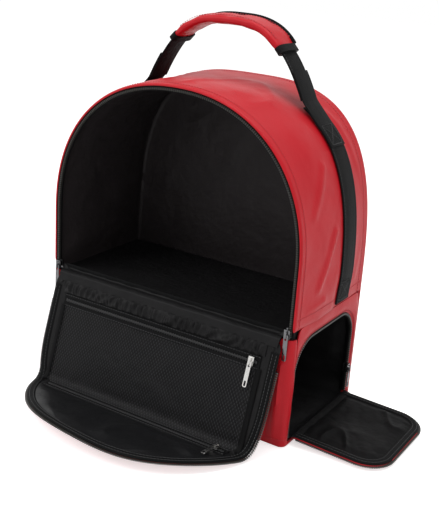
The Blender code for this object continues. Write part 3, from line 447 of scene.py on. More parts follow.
# ================================================================ shader groups
def wire(tree, node, inputs):
    """Link a node's inputs to other sockets, or set their plain values."""
    for key, value in inputs.items():
        if isinstance(value, bpy.types.NodeSocket):
            tree.links.new(value, node.inputs[key])
        else:
            node.inputs[key].default_value = value
    return node.outputs


def add_node(tree, kind, inputs):
    return wire(tree, tree.nodes.new("ShaderNode" + kind), inputs)


def calc(tree, operation, *values):
    node = tree.nodes.new("ShaderNodeMath")
    node.operation = operation
    return wire(tree, node, dict(enumerate(values)))[0]


def new_group(name, inputs, outputs):
    """An empty shader node group; a socket whose value is a tuple holds a colour."""
    tree = bpy.data.node_groups.new(name, "ShaderNodeTree")
    for way, sockets in (("INPUT", inputs), ("OUTPUT", outputs)):
        for label, value in sockets.items():
            kind = "NodeSocketColor" if isinstance(value, tuple) else "NodeSocketFloat"
            sock = tree.interface.new_socket(name=label, in_out=way, socket_type=kind)
            sock.default_value = value
    return tree, tree.nodes.new("NodeGroupInput").outputs, tree.nodes.new("NodeGroupOutput")


def uv_axes(tree):
    """X and Y of the piece's own UV map, in metres."""
    split = add_node(tree, "SeparateXYZ", {0: add_node(tree, "UVMap", {})["UV"]})
    return split["X"], split["Y"]


def noise_node(tree, scale, detail, **more):
    place_of = add_node(tree, "TexCoord", {})["Object"]
    return add_node(tree, "TexNoise", {"Vector": place_of, "Scale": scale, "Detail": detail,
                                       **more})["Fac"]


def wave_height(tree, value, gout):
    """Bring -1 to 1 to the group's Height of 0 to 1."""
    wire(tree, gout, {"Height": calc(tree, "MULTIPLY_ADD", value, 0.5, 0.5)})
    return tree


def weave_group():
    """Crossing threads at a pitch."""
    tree, gin, gout = new_group("woven_threads", {"Pitch": 0.001, "Slant": 0.0}, {"Height": 0.0})
    turn = calc(tree, "DIVIDE", 2 * math.pi, gin["Pitch"])
    u, v = (calc(tree, "MULTIPLY", axis, turn) for axis in uv_axes(tree))
    slanted = calc(tree, "MULTIPLY_ADD", v, gin["Slant"], u)
    crossed = calc(tree, "MULTIPLY", calc(tree, "SINE", slanted), calc(tree, "SINE", v))
    return wave_height(tree, crossed, gout)


def rib_group():
    """Webbing: rows of slanting ribs that change direction in bands."""
    tree, gin, gout = new_group("webbing_ribs", {"Pitch": 0.0016, "Band": 0.0060},
                                {"Height": 0.0})
    u, v = uv_axes(tree)
    slant = calc(tree, "ADD", u, calc(tree, "PINGPONG", v, gin["Band"]))
    turn = calc(tree, "DIVIDE", 2 * math.pi, gin["Pitch"])
    return wave_height(tree, calc(tree, "SINE", calc(tree, "MULTIPLY", slant, turn)), gout)


def crease_group():
    """Broad soft creases and fine crumple, from Object coordinates."""
    tree, gin, gout = new_group("cloth_creases", {"Scale": 14.0, "Fine": 0.3},
                                {"Height": 0.0, "Mask": 0.0})
    broad = noise_node(tree, gin["Scale"], 3.0, Distortion=0.6)
    broad.node.noise_type = "RIDGED_MULTIFRACTAL"
    fine = noise_node(tree, calc(tree, "MULTIPLY", gin["Scale"], 5.0), 4.0)
    mixed = calc(tree, "MULTIPLY_ADD", fine, gin["Fine"], broad)
    wire(tree, gout, {"Height": mixed, "Mask": fine})
    return tree


def tone_group():
    """A colour with slow and fine changes of lightness over the surface."""
    grey = (0.5, 0.5, 0.5, 1)
    tree, gin, gout = new_group(
        "cloth_tone", {"Color": grey, "Faded": (1, 1, 1, 1), "Scale": 30.0, "Amount": 0.2},
        {"Color": grey})
    fac = noise_node(tree, gin["Scale"], 6.0, Roughness=0.62)
    mix = tree.nodes.new("ShaderNodeMix")
    mix.data_type = "RGBA"
    share = calc(tree, "MULTIPLY", fac, gin["Amount"])
    mixed = wire(tree, mix, {"Factor": share, "A": gin["Color"], "B": gin["Faded"]})
    wire(tree, gout, {"Color": mixed["Result"]})
    return tree


def net_group():
    """Round holes in staggered rows."""
    tree, gin, gout = new_group("net_holes", {"Pitch": 0.0024, "Open": 0.32},
                                {"Thread": 0.0, "Height": 0.0})
    u, v = uv_axes(tree)
    u = calc(tree, "DIVIDE", u, gin["Pitch"])
    v = calc(tree, "DIVIDE", v, calc(tree, "MULTIPLY", gin["Pitch"], 1.5))
    near = []
    for shift in (0.0, 0.5):
        du, dv = (calc(tree, "SUBTRACT", calc(tree, "FRACT", calc(tree, "ADD", k, shift)), 0.5)
                  for k in (u, v))
        dv = calc(tree, "MULTIPLY", dv, 1.3)
        square = calc(tree, "MULTIPLY_ADD", du, du, calc(tree, "MULTIPLY", dv, dv))
        near.append(calc(tree, "SQRT", square))
    least = calc(tree, "MINIMUM", *near)
    wire(tree, gout, {"Thread": calc(tree, "GREATER_THAN", least, gin["Open"]),
                      "Height": least})
    return tree


TONE = tone_group()
# each bump layer of a finish: its group, and the inputs that its first and last number set
LAYERS = {"crease": (crease_group(), "Scale", "Fine"), "weave": (weave_group(), "Pitch", "Slant"),
          "ribs": (rib_group(), "Pitch", "Band"), "net": (net_group(), "Pitch", "Open")}


def use_group(tree, group, inputs):
    node = tree.nodes.new("ShaderNodeGroup")
    node.node_tree = group
    return wire(tree, node, inputs)


def finish(name, slot, colour, faded, rough, tone, specular=0.5, metallic=0.0, rough_var=0.0,
           see_through=False, **layers):
    """A Principled material; a layer is (scale or pitch, depth, last input of its group)."""
    mat = bpy.data.materials.new(name)
    mat.use_nodes = True
    tree = mat.node_tree
    shader = tree.nodes["Principled BSDF"]
    tint = use_group(tree, TONE, {"Color": (*colour, 1), "Faded": (*faded, 1),
                                  "Scale": tone[0], "Amount": tone[1]})
    wire(tree, shader, {"Roughness": rough, "Metallic": metallic,
                        "Specular IOR Level": specular, "Base Color": tint["Color"]})
    normal = {}
    for label, (group, first, last) in LAYERS.items():
        if label not in layers:
            continue
        size, depth, other = layers[label]
        out = use_group(tree, group, {first: size, last: other})
        bump = {"Strength": 1.0, "Distance": depth, "Height": out["Height"], **normal}
        normal = {"Normal": add_node(tree, "Bump", bump)["Normal"]}
        if label == "crease" and rough_var:
            span = {"To Min": rough - rough_var, "To Max": rough + rough_var,
                    "Value": out["Mask"]}
            wire(tree, shader, {"Roughness": add_node(tree, "MapRange", span)["Result"]})
        if label == "net" and see_through:
            wire(tree, shader, {"Alpha": out["Thread"]})
    wire(tree, shader, normal)
    return mat


RED_SLOT, LINING_SLOT, WEB_SLOT = "red_coated_fabric", "black_lining", "black_webbing"
MESH_SLOT, COIL_SLOT = "black_mesh", "black_coil"
COATED = {"weave": (0.0011, 0.00004, 0.25)}
CRUMPLED = {"tone": (26.0, 0.6), "weave": (0.0012, 0.00006, 0.0),
            "crease": (20.0, 0.0030, 0.30), "rough_var": 0.10}
THREAD = {"tone": (300.0, 0.5), "crease": (300.0, 0.0001, 0.5)}
PLATED = {"tone": (160.0, 0.4), "metallic": 1.0, "crease": (240.0, 0.00008, 0.6),
          "rough_var": 0.08}

RED = finish("red_coated_cloth", RED_SLOT, (0.49, 0.0090, 0.0170), (0.36, 0.0050, 0.0100),
             0.42, (22.0, 0.40), 0.17, rough_var=0.07, crease=(9.0, 0.0042, 0.14), **COATED)
RED_EDGE = finish("red_coated_edge", RED_SLOT, (0.44, 0.0080, 0.0150), (0.30, 0.0040, 0.0080),
                  0.46, (60.0, 0.4), 0.3, crease=(30.0, 0.0006, 0.3), **COATED)
LINING = finish("black_lining_cloth", LINING_SLOT, (0.0072, 0.0070, 0.0073),
                (0.0160, 0.0155, 0.0162), 0.44, specular=0.09, **CRUMPLED)
# painted light: the black lining again, its colour made lighter for the inside of the main
# compartment
LINING_PAINTED_LIGHT = finish("black_lining_painted_light", LINING_SLOT, (0.0180, 0.0148, 0.0154),
                 (0.0340, 0.0283, 0.0294), 0.44, specular=0.12, **CRUMPLED)
# painted shade: the black lining again, its colour made darker for the open boot door
LINING_PAINTED_SHADE = finish("black_lining_painted_shade", LINING_SLOT, (0.0050, 0.0049, 0.0051),
                    (0.0110, 0.0107, 0.0111), 0.46, specular=0.03, **CRUMPLED)
FACING = finish("charcoal_facing_cloth", LINING_SLOT, (0.0050, 0.0050, 0.0055),
                (0.0105, 0.0105, 0.0115), 0.38, (18.0, 0.5), 0.20, rough_var=0.08,
                weave=(0.0010, 0.00003, 0.3), crease=(12.0, 0.0040, 0.25))
WEBBING = finish("black_webbing_ribbed", WEB_SLOT, (0.0050, 0.0050, 0.0053),
                 (0.0110, 0.0110, 0.0115), 0.58, (80.0, 0.5), 0.06,
                 ribs=(0.0022, 0.00030, 0.0048))
TAPE = finish("black_zip_tape", WEB_SLOT, (0.0032, 0.0032, 0.0034), (0.0080, 0.0080, 0.0084),
              0.58, (90.0, 0.5), 0.06, ribs=(0.0010, 0.00008, 0.0020),
              crease=(60.0, 0.0004, 0.5))
TEETH = finish("black_nylon_teeth", COIL_SLOT, (0.024, 0.023, 0.020), (0.085, 0.080, 0.068),
               0.28, (200.0, 0.5), 0.45, crease=(160.0, 0.0001, 0.5))
NETTING = finish("black_knit_net", MESH_SLOT, (0.026, 0.026, 0.028), (0.050, 0.050, 0.053),
                 0.50, (60.0, 0.5), 0.16, see_through=True, net=(0.0046, 0.0010, 0.43))
AIR_MESH = finish("black_air_mesh", MESH_SLOT, (0.0060, 0.0060, 0.0063),
                  (0.0135, 0.0135, 0.0140), 0.70, (60.0, 0.5), 0.08,
                  net=(0.0042, 0.0012, 0.30), crease=(20.0, 0.0008, 0.3))
THREADS = {
    "red": finish("red_thread", RED_SLOT, (0.40, 0.016, 0.024), (0.26, 0.008, 0.012), 0.55,
                  **THREAD),
    "black": finish("black_thread", WEB_SLOT, (0.020, 0.020, 0.021), (0.05, 0.05, 0.052), 0.60,
                    **THREAD)}
NICKEL = finish("bright_nickel_plate", "bright_nickel", (0.66, 0.65, 0.63), (0.42, 0.41, 0.40),
                0.24, **PLATED)
GUNMETAL = finish("black_nickel_plate", "black_nickel", (0.115, 0.115, 0.120),
                  (0.22, 0.22, 0.225), 0.27, **PLATED)
PLASTIC = finish("black_moulded_plastic", "black_plastic", (0.018, 0.018, 0.019),
                 (0.035, 0.035, 0.036), 0.42, (120.0, 0.4), rough_var=0.06,
                 crease=(180.0, 0.0001, 0.6))


# ================================================================ body
def arch_ring(y, inset, count, low):
    """Points of the top's outline at a depth, moved inwards by an inset."""
    flat = section(y, low, count)
    flat = flat + inward(flat) * inset
    return points(flat[:, 0], y, flat[:, 1])


# soft folds in the sides: side, start y and z, end y and z, height, width
CREASES = ((1, 0.062, 0.405, 0.086, 0.300, 0.00390, 0.0050),
           (1, -0.050, 0.205, -0.008, 0.272, 0.00338, 0.0045),
           (1, -0.062, 0.300, -0.020, 0.352, 0.00260, 0.0050),
           (1, 0.066, 0.190, 0.088, 0.262, 0.00312, 0.0045),
           (1, -0.074, 0.180, -0.030, 0.186, 0.00234, 0.0040),
           (-1, 0.064, 0.380, 0.082, 0.280, 0.00338, 0.0050),
           (-1, -0.060, 0.230, -0.014, 0.300, 0.00312, 0.0050),
           (-1, 0.060, 0.185, 0.086, 0.240, 0.00286, 0.0045))


def arch_shell():
    """Red panel up one side, over the top and down the other, rolled to the front zip."""
    rows = [(0.0034, PLANE_Y + 0.0012), (0.0026, PLANE_Y + 0.0006),
            (0.0015, PLANE_Y + 0.0008), (0.0006, PLANE_Y + 0.0018), (0.0, PLANE_Y + 0.0040)]
    rows += [(0.0, y) for y in np.linspace(PLANE_Y + 0.0075, HALF_D - 0.0055, 42)]
    rows += [(0.0, HALF_D - 0.0035), (0.0007, HALF_D - 0.0016), (0.0020, HALF_D - 0.0004),
             (0.0042, HALF_D + 0.0001)]
    grid = np.array([arch_ring(y, inset, 221, SEAM_Z - 0.0004) for inset, y in rows])
    centre = np.array([0.0, 0.0, 0.25])
    out = facing(grid, grid - centre)
    x, y, z = np.moveaxis(grid, -1, 0)
    share = (y - PLANE_Y) / (HALF_D - PLANE_Y)
    free = ease(share, 0.05, 0.35) * (1 - ease(share, 0.66, 0.97))
    side = 1 - ease(z, 0.36, 0.43)
    amount = free * (0.0030 * side * ease(z, SEAM_Z, SEAM_Z + 0.05) - 0.0010 * (1 - side))
    band = np.exp(-((y - WEB_Y) / 0.027) ** 6) * ease(np.abs(x), 0.100, 0.125)
    soft = (0.0024 * wave(grid, 7.0, 3.1, (1.0, 1.6, 1.0))
            + 0.0026 * ridges(grid, 6.5, 7.7, (1.5, 1.0, 0.5), 0.30) ** 2
            + 0.0003 * wave(grid, 60.0, 1.3))
    for way, y0, z0, y1, z1, height, width in CREASES:
        dy, dz = y - y0, np.where(x * way > 0.02, z, 9.0) - z0
        along = np.array([y1 - y0, z1 - z0])
        k = np.clip((dy * along[0] + dz * along[1]) / along.dot(along), 0, 1)
        soft += height * bell(np.hypot(dy - k * along[0], dz - k * along[1]), 0.0, width)
    amount = np.maximum(amount + free * (1 - band) * soft, -0.0016)
    groove = (0.0007 * bell(y, PLANE_Y + 0.0085, 0.0016)
              + 0.0006 * bell(y, HALF_D - 0.010, 0.0018) + 0.0012 * bell(z, SEAM_Z, 0.0022))
    grid = grid + out * (amount - groove)[..., None]
    obj = cloth("arch_shell", grid, 0.0019, RED, grid - centre)
    place(obj, "bag", "arch_panel")
    normal = facing(grid, grid - centre)
    for part in (6, -7, (slice(4, -4), 4), (slice(4, -4), -5)):
        stitch("bag", "red", grid[part], normal[part])


def main_lining():
    """Black lining of the main compartment: a tunnel and its back wall."""
    low_z, end_y = FLOOR_Z - 0.0014, 0.0922
    rows = [(0.0076, -0.0925), (0.0064, -0.0890), (0.0058, -0.0840)]
    rows += [(0.0056, y) for y in np.linspace(-0.079, 0.0860, 34)]
    rows += [(0.0060, 0.0895), (0.0080, 0.0915), (0.0120, end_y)]
    grid = [arch_ring(y, inset, 181, low_z) for inset, y in rows]
    ring = grid[-1]
    middle = np.array([0.0, end_y, low_z])
    grid = np.array(grid + [middle + (ring - middle) * k for k in np.linspace(0.94, 0.003, 28)])
    toward = unit(np.array([0.0, -0.02, 0.27]) - grid)
    y, z = grid[..., 1], grid[..., 2]
    crumple = 0.5 + 0.5 * wave(grid, 13.0, 5.5, (1.0, 1.0, 1.4))
    crumple += 0.35 * np.abs(wave(grid, 34.0, 9.1, (1.3, 0.6, 1.0)))
    free = ease(y, -0.088, -0.060) * (1 - 0.6 * ease(y, 0.085, 0.092))
    free = free * ease(z, FLOOR_Z + 0.002, FLOOR_Z + 0.03)
    grid = grid + toward * (free * 0.0046 * crumple)[..., None]
    # the compartment's lining takes the lining copy painted lighter: painted light
    place(cloth("main_lining_cloth", grid, 0.0007, LINING_PAINTED_LIGHT, toward), "bag", "main_lining")


def floor_pad():
    """Padded board between the compartments, and the lip behind the hinge."""
    half, deep = 0.1915, 0.0930
    gx, gy = np.meshgrid(np.linspace(-half, half, 61), np.linspace(-deep, deep, 31))
    edge = np.minimum(half - np.abs(gx), deep - np.abs(gy))
    grid = points(gx, gy, FLOOR_Z - 0.0008 + 0.0008 * np.sqrt(np.clip(edge / 0.004, 0, 1)))
    grid[..., 2] += 0.00025 * wave(grid, 26.0, 2.0) * ease(edge, 0.004, 0.02)
    place(cloth("floor_board_cloth", grid, 0.0022, LINING, UP), "bag", "compartment_floor")
    path = [(-0.0905, 0.1510), (-0.0905, 0.1560), (-0.0909, 0.1594), (-0.0919, 0.1607),
            (-0.0929, 0.1600), (-0.0932, 0.1580), (-0.0934, 0.1540), (-0.0936, 0.1510)]
    path = resample(path, 18)
    grid = points(np.linspace(-0.1778, 0.1778, 121), path[:, :1], path[:, 1:])
    grid[..., 1] += 0.0003 * wave(grid, 40.0, 8.0, (1.0, 0.3, 0.3))
    away = (grid - [0.0, -0.0920, 0.1545]) * [0.0, 1.0, 1.0]
    place(cloth("sill_cloth", grid, 0.0006, TAPE, away), "bag", "opening_sill")


def lower_wrap():
    """Red panel round the left side, the front and the front right corner."""
    r, low_z = 0.0085, 0.0018
    left, right, front = -HALF_W, HALF_W, -HALF_D
    turn = np.arange(9) / 8 * math.pi / 2
    corners = [[(side * (HALF_W - r * (1 - math.cos(a))), front + r - r * math.sin(a))
                for a in turn] for side in (-1, 1)]
    plan = [(left, y) for y in np.linspace(WALL_END, front + r, 30)]
    plan += corners[0][1:] + [(x, front) for x in np.linspace(left + r, right - r, 90)[1:]]
    plan += corners[1][-2::-1] + [(right, front + r + 0.0006)]
    plan = np.array(plan)
    out = inward(plan)
    out = out if out[45][1] < 0 else -out
    x, y = plan.T
    share = np.linspace(0, 1, 34)[:, None]
    top = np.where((y > -0.0935) & (x < 0), SEAM_Z - 0.0006, HINGE_Z - 0.0008)
    bow = np.abs(np.sin(np.pi * share)) ** 0.8
    edge = np.where((x < 0) & (y > -0.09), np.minimum(1.0, (WALL_END - y) / 0.02), 1.0)
    lean = (share - 0.5) * 0.006
    fold = (0.0046 * bell(x - lean, 0.181, 0.0055) - 0.0026 * bell(x - lean, 0.168, 0.0050)
            + 0.0030 * bell(x + lean, 0.154, 0.0070))
    fold = np.where((y < -0.09) & (x > 0.10), fold * bow, 0.0)
    puff = 0.0026 * bow * edge * np.where(np.abs(x) > 0.186, 0.4, 1.0) + fold
    grid = points(x + out[:, 0] * puff, y + out[:, 1] * puff, low_z + (top - low_z) * share)
    rise = np.abs(np.sin(np.pi * share)) ** 0.6
    bumps = rise * (0.0016 * wave(grid, 13.0, 11.0) + 0.0007 * wave(grid, 36.0, 4.0))
    grid[..., :2] += out * bumps[..., None]
    away = (grid - [0.0, 0.0, 0.08]) * [1.0, 1.0, 0.0]
    obj = cloth("lower_wrap_cloth", grid, 0.0020, RED, away)
    place(obj, "bag", "front_lower_panel", "left_lower_panel")
    normal = facing(grid, away)
    stitch("bag", "red", grid[-2, :29] - UP * 0.0015, normal[-2, :29])
    stitch("bag", "red", grid[2], normal[2])


def boot_surround():
    """Red frame round the boot opening, from the zip to the side seams, and its sill."""
    inner = resample(door_line(-0.0052), 141)
    inner = np.concatenate([[[inner[0][0], 0.0090]], inner, [[inner[-1][0], 0.0090]]])
    front, back, top = -0.0897, WALL_END, SEAM_Z - 0.0008
    y, z = inner.T
    climb = ease(z, 0.100, 0.128)
    spread = front + (back - front) * (y - y[0]) / (y[-1] - y[0])
    outer = np.stack([spread * climb + np.where(y < 0, front, back) * (1 - climb)
                      - 0.0004 * ((z < 0.10) & (y < 0)), z + (top - z) * climb], axis=1)
    k = np.linspace(0, 1, 12)[:, None]
    span = np.linalg.norm(outer - inner, axis=1)
    dome = np.clip(span / 0.012, 0.0, 1.0) * 0.0016 * np.sin(np.pi * k)
    roll = 0.0009 * (1 - np.minimum(1.0, k * 5)) ** 2
    flat = inner + (outer - inner) * k[..., None]
    grid = points(HALF_W - 0.0004 + dome - roll, flat[..., 0], flat[..., 1])
    grid[..., 0] += 0.0006 * wave(grid, 30.0, 6.0) * np.sin(np.pi * k)
    place(cloth("boot_surround_cloth", grid, 0.0018, RED, RIGHT), "bag", "right_lower_frame")
    line = resample(door_line(-0.0085), 160)
    line = line[line[:, 1] > 0.07]
    stitch("bag", "red", points(HALF_W + 0.0006, line[:, 0], line[:, 1]), RIGHT)
    k = np.array([[0.0], [0.3], [0.6], [0.9], [1.0]])
    z = np.array([[0.0018], [0.0027], [0.0036], [0.0045], [0.0052]])
    strip = points(HALF_W - 0.0012 + 0.0014 * np.sin(np.pi * k),
                   np.linspace(front, WALL_END, 60), z)
    place(cloth("boot_sill_cloth", strip, 0.0012, RED, RIGHT), "bag")


def back_cloth():
    """Red back with self-piping round its arch."""
    shares = np.sin(np.linspace(0, math.pi / 2, 60))[:, None]
    z = 0.0022 + (BACK_TOP - 0.0045 - 0.0022) * shares
    left = back_line(0.0022, SEAM_Z)[:150]
    across = np.linspace(-1, 1, 71)
    grid = points(-across * np.interp(z, left[:, 1], left[:, 0]), HALF_D, z)
    crown = (1 - np.abs(across) ** 6) * np.sin(np.pi * np.clip(shares, 0.02, 0.98)) ** 0.5
    hold = (np.abs(grid[..., 0]) < 0.136) & (grid[..., 2] < 0.41) & (grid[..., 2] > 0.03)
    puff = 0.0016 * crown * (0.5 + 0.5 * wave(grid, 12.0, 2.4))
    grid[..., 1] += np.where(hold, 0.0, puff)
    place(cloth("back_cloth", grid, 0.0040, RED, BACKWARD), "bag", "back_panel")
    line = resample(back_line(0.0028, 0.0040), 260)
    piping = sweep("back_piping", points(line[:, 0], HALF_D + 0.0004, line[:, 1]), BACKWARD,
                   oval(0.0038, 0.0038, 2.0, 8), RED_EDGE)
    place(piping, "bag")


def back_pad():
    """Padded back with sewn channels, its inner face flat against the back."""
    w, z0, z1, thick = 0.130, 0.070, 0.380, 0.0082
    ga, gb = np.meshgrid(np.linspace(-1, 1, 81), np.linspace(-1, 1, 97))
    corner = np.maximum(np.abs(ga) ** 5 + np.abs(gb) ** 9, 1e-6)
    body = np.clip(1 - corner, 0.0, 1.0) ** 0.35
    x = ga * w * (1 - 0.03 * gb ** 2)
    z = (z0 + z1) / 2 + gb * (z1 - z0) / 2 * (1 - 0.02 * ga ** 2)
    channel = np.ones_like(x)
    for line in (-0.043, 0.043):
        channel *= 1 - 0.75 * bell(x, line, 0.0042)
    for line in (0.150, 0.225, 0.300):
        channel *= 1 - 0.70 * bell(z - 0.010 * (x / w) ** 2, line, 0.0042)
    grid = points(x, HALF_D + 0.0006 + thick * body * (0.35 + 0.65 * channel), z)
    grid[..., 1] += 0.0004 * wave(grid, 40.0, 3.0) * body
    grid[..., 1] = np.minimum(grid[..., 1], HALF_D + 0.0090)
    obj = cloth("back_pad_cushion", grid, 0.0004, AIR_MESH, BACKWARD)
    for vert in obj.data.vertices[len(obj.data.vertices) // 2:]:
        vert.co.y = HALF_D + 0.0003
    obj.data.update()
    place(obj, "bag", "back_pad")


def base_cloth():
    """Base board in its red cover, with round corners."""
    bpy.ops.object.select_all(action="DESELECT")
    bpy.ops.mesh.primitive_cube_add(size=1.0, location=(0.0, 0.0, 0.00185))
    obj = bpy.context.object
    obj.scale = (2 * HALF_W - 0.0006, 2 * HALF_D - 0.0006, 0.0034)
    bpy.ops.object.transform_apply(location=True, rotation=False, scale=True)
    bpy.ops.object.mode_set(mode="EDIT")
    bpy.ops.mesh.select_mode(type="EDGE")
    bpy.ops.mesh.select_all(action="DESELECT")
    bpy.ops.object.mode_set(mode="OBJECT")
    for edge in obj.data.edges:
        a, b = (obj.data.vertices[i].co for i in edge.vertices)
        edge.select = abs(a.z - b.z) > 0.001
    bpy.ops.object.mode_set(mode="EDIT")
    bpy.ops.mesh.bevel(offset=0.009, segments=6, affect="EDGES")
    bpy.ops.mesh.select_all(action="DESELECT")
    bpy.ops.object.mode_set(mode="OBJECT")
    for face in obj.data.polygons:
        face.select = abs(face.normal.z) > 0.9
    bpy.ops.object.mode_set(mode="EDIT")
    bpy.ops.mesh.bevel(offset=0.0011, segments=3, affect="EDGES")
    bpy.ops.object.mode_set(mode="OBJECT")
    obj.name = "base_cloth"
    dress(obj, RED, 50)
    place(obj, "bag", "base_panel")


def dress(obj, material, angle):
    """Give a piece its one material, and smooth shading up to an angle."""
    obj.data.materials.clear()
    obj.data.materials.append(material)
    obj.data.shade_smooth()
    obj.data.set_sharp_from_angle(angle=math.radians(angle))


def boot_lining():
    """Black lining of the boot compartment, crumpled, open to the side."""
    y0, y1, z0, z1, r, end_x = -0.0938, 0.0922, 0.0044, 0.1462, 0.016, -0.175
    loop = []
    for cy, cz, first in ((y1 - r, z1 - r, 0), (y0 + r, z1 - r, 90), (y0 + r, z0 + r, 180),
                          (y1 - r, z0 + r, 270)):
        for a in np.radians(first + 90 * np.arange(9) / 8):
            loop.append((cy + r * math.cos(a), cz + r * math.sin(a)))
    loop = resample(loop + loop[:1], 121)
    grid = [points(x, loop[:, 0], loop[:, 1]) for x in np.linspace(0.1885, end_x, 56)]
    middle = np.array([(y0 + y1) / 2, (z0 + z1) / 2])
    for k in np.linspace(0.0, 1.0, 16)[1:]:
        closed = middle + (loop - middle) * (1 - 0.997 * max(0.0, (k - 0.15) / 0.85) ** 1.2)
        x = end_x - 0.0155 * math.sin(min(1.0, k * 2.2) * math.pi / 2)
        grid.append(points(x, closed[:, 0], closed[:, 1]))
    grid = np.array(grid)
    toward = unit((np.array([0.05, *middle]) - grid) * [0.15, 1.0, 1.0])
    crumple = 0.5 + 0.5 * wave(grid, 16.0, 1.5, (0.8, 1.0, 1.0))
    crumple += 0.5 * np.abs(wave(grid, 38.0, 6.1, (0.8, 1.0, 1.2)))
    free = ease(-grid[..., 0], -0.187, -0.165)
    grid = grid + toward * (free * 0.0048 * crumple)[..., None]
    place(cloth("boot_lining_cloth", grid, 0.0006, LINING, toward), "bag", "boot_lining")


# ================================================================ zips
def open_zip(name, body, line, rows, line_of_teeth, inset, depth, zone, toward, thickness,
             tape_nodes, teeth_nodes):
    """One side of an open zip: its cloth, small teeth and the cord that holds them."""
    tape = cloth(name[0], rails(line, rows, zone), thickness, TAPE, toward)
    place(tape, body, *tape_nodes)
    here, normals = beside(line_of_teeth, inset, depth, zone)
    shape = tooth(0.0016, 0.0036, 0.0023)
    row = scatter(name[1], [(*frames_on(here, normals, 0.0029), shape)], TEETH)
    place(row, body, *teeth_nodes)
    cord = sweep(name[1] + "_cord", here, normals, oval(0.0014, 0.0014, 2.0, 6), TAPE)
    place(cord, body)


def closed_chain(name, half, s, depth):
    """Two meshed rows of teeth across the flap."""
    here, normals = raised(flap_at, np.linspace(-half, half, 80), s, depth)
    places, axes = frames_on(here, normals, 0.0019)
    shift = np.where(np.arange(len(places)) % 2, 0.0005, -0.0005)[:, None]
    places = places + axes[:, 1] * shift
    return scatter(name, [(places, axes, tooth(0.0012, 0.0034, 0.0014))], PLASTIC)


def body_zips():
    """The bag's side of the main zip and of the boot zip."""
    line = front_line(0.0, 460)
    rows = [(0.0020, 0.0034), (0.0030, 0.0029), (0.0088, 0.0028), (0.0096, 0.0036),
            (0.0090, 0.0060), (0.0074, 0.0084)]
    open_zip(("main_zip_tape_cloth", "main_zip_fine_teeth"), "bag", line, rows, line, 0.0068,
             0.0018, MAIN_ZONE, FRONT, 0.0007, ["main_zip_tape"], ["main_zip_teeth"])
    line = door_line(0.0, 300)
    rows = [(-0.0072, 0.0038), (-0.0060, 0.0026), (-0.0012, 0.0027), (-0.0004, 0.0038),
            (-0.0010, 0.0064), (-0.0030, 0.0092)]
    open_zip(("boot_zip_tape_cloth", "boot_zip_fine_teeth"), "bag", line, rows, line, -0.0026,
             0.0013, BOOT_ZONE, RIGHT, 0.0007, ["boot_zip_tape"], ["boot_zip_teeth"])
    stitch("bag", "red", *beside(line, -0.0078, -0.0007, BOOT_ZONE))


# ================================================================ covers
def cover_points(line, base, low, high, corner, rows, cols, last=0.994):
    """u, s and edge distance of points that fill a cover."""
    s = low + (high - low) * np.sin(np.linspace(0.0, math.pi / 2 * last, rows))[:, None]
    half = len(line) // 2
    left, right = line[:half], line[half:][::-1]
    cut = corner - np.sqrt(np.maximum(corner ** 2 - np.maximum(corner - s, 0.0) ** 2, 0.0))
    lo = np.interp(base + s, left[:, 1], left[:, 0]) + cut
    hi = np.interp(base + s, right[:, 1], right[:, 0]) - cut
    u = lo + (hi - lo) * (0.5 - 0.5 * np.cos(np.linspace(0, math.pi, cols)))
    return u, s + 0.0 * u, np.minimum(np.minimum(u - lo, hi - u), high - s)


def flap_cloths():
    """Red outside, black lining, charcoal facing, edge tape and teeth of the flap."""
    top = TOP_Z - HINGE_Z
    line = front_line(0.0136, 500, HINGE_Z)
    u, s, e = cover_points(line, HINGE_Z, 0.0008, top - 0.0136, 0.018, 110, 81)
    flat = points(u, s, 0.0)
    d = 0.0008 * np.exp(-e / 0.002) + 0.0005 * wave(flat, 18.0, 2.2) * ease(e, 0, 0.02)
    place(cloth("flap_outer_cloth", laid(flap_at, u, s, d), 0.0022, RED, -INSIDE), FLAP,
          "flap_panel_upper", "flap_panel_end")

    line = front_line(0.0225, 500, HINGE_Z)
    u, s, e = cover_points(line, HINGE_Z, 0.0030, top - 0.0225, 0.016, 130, 91)
    flat = points(u, s, 0.0)
    crumple = wave(flat, 20.0, 4.4, (1.0, 1.6, 1.0))
    sunk = ease(s, 0.135, 0.152)
    d = LAYER_D - 0.0003 + 0.0006 * crumple * ease(e, 0.002, 0.02) * (1 - sunk) - 0.0010 * sunk
    grid = laid(flap_at, u, s, d)[s[:, 0] < 0.176]
    place(cloth("flap_lining_cloth", grid, 0.0006, LINING, INSIDE), FLAP, "flap_lining_upper")
    broad = wave(flat, 9.0, 6.1, (1.0, 1.4, 1.0))
    rise = ease(s, 0.172, 0.20) * ease(e, 0.0, 0.03)
    ridge = ridges(flat, 8.0, 2.9, (0.7, 1.8, 1.0), 0.25) ** 2
    d = LAYER_D + 0.0002 + rise * (0.0022 + 0.0026 * broad + 0.0008 * crumple + 0.0032 * ridge)
    grid = laid(flap_at, u, s, d)[s[:, 0] > 0.1655]
    place(cloth("flap_facing_cloth", grid, 0.0008, FACING, INSIDE), "flap_end",
          "flap_lining_end")

    line = front_line(0.0, 560, HINGE_Z + 0.020)
    rows = [(0.0134, 0.0022), (0.0126, 0.0030), (0.0130, 0.0040), (0.0150, 0.0046),
            (0.0200, 0.0047), (0.0232, 0.0044), (0.0246, 0.0034)]
    chain = front_line(0.0, 520, HINGE_Z + 0.041)
    ends = ("left", "right", "end")
    open_zip(("flap_edge_tape", "flap_fine_teeth"), FLAP, line, rows, chain, 0.0118, 0.0014,
             FLAP_ZONE, INSIDE, 0.0005, ["flap_tape_" + k for k in ends],
             ["flap_teeth_" + k for k in ends])
    for inset in (0.0158, 0.0212):
        stitch(FLAP, "black", *beside(line, inset, 0.0047, FLAP_ZONE))


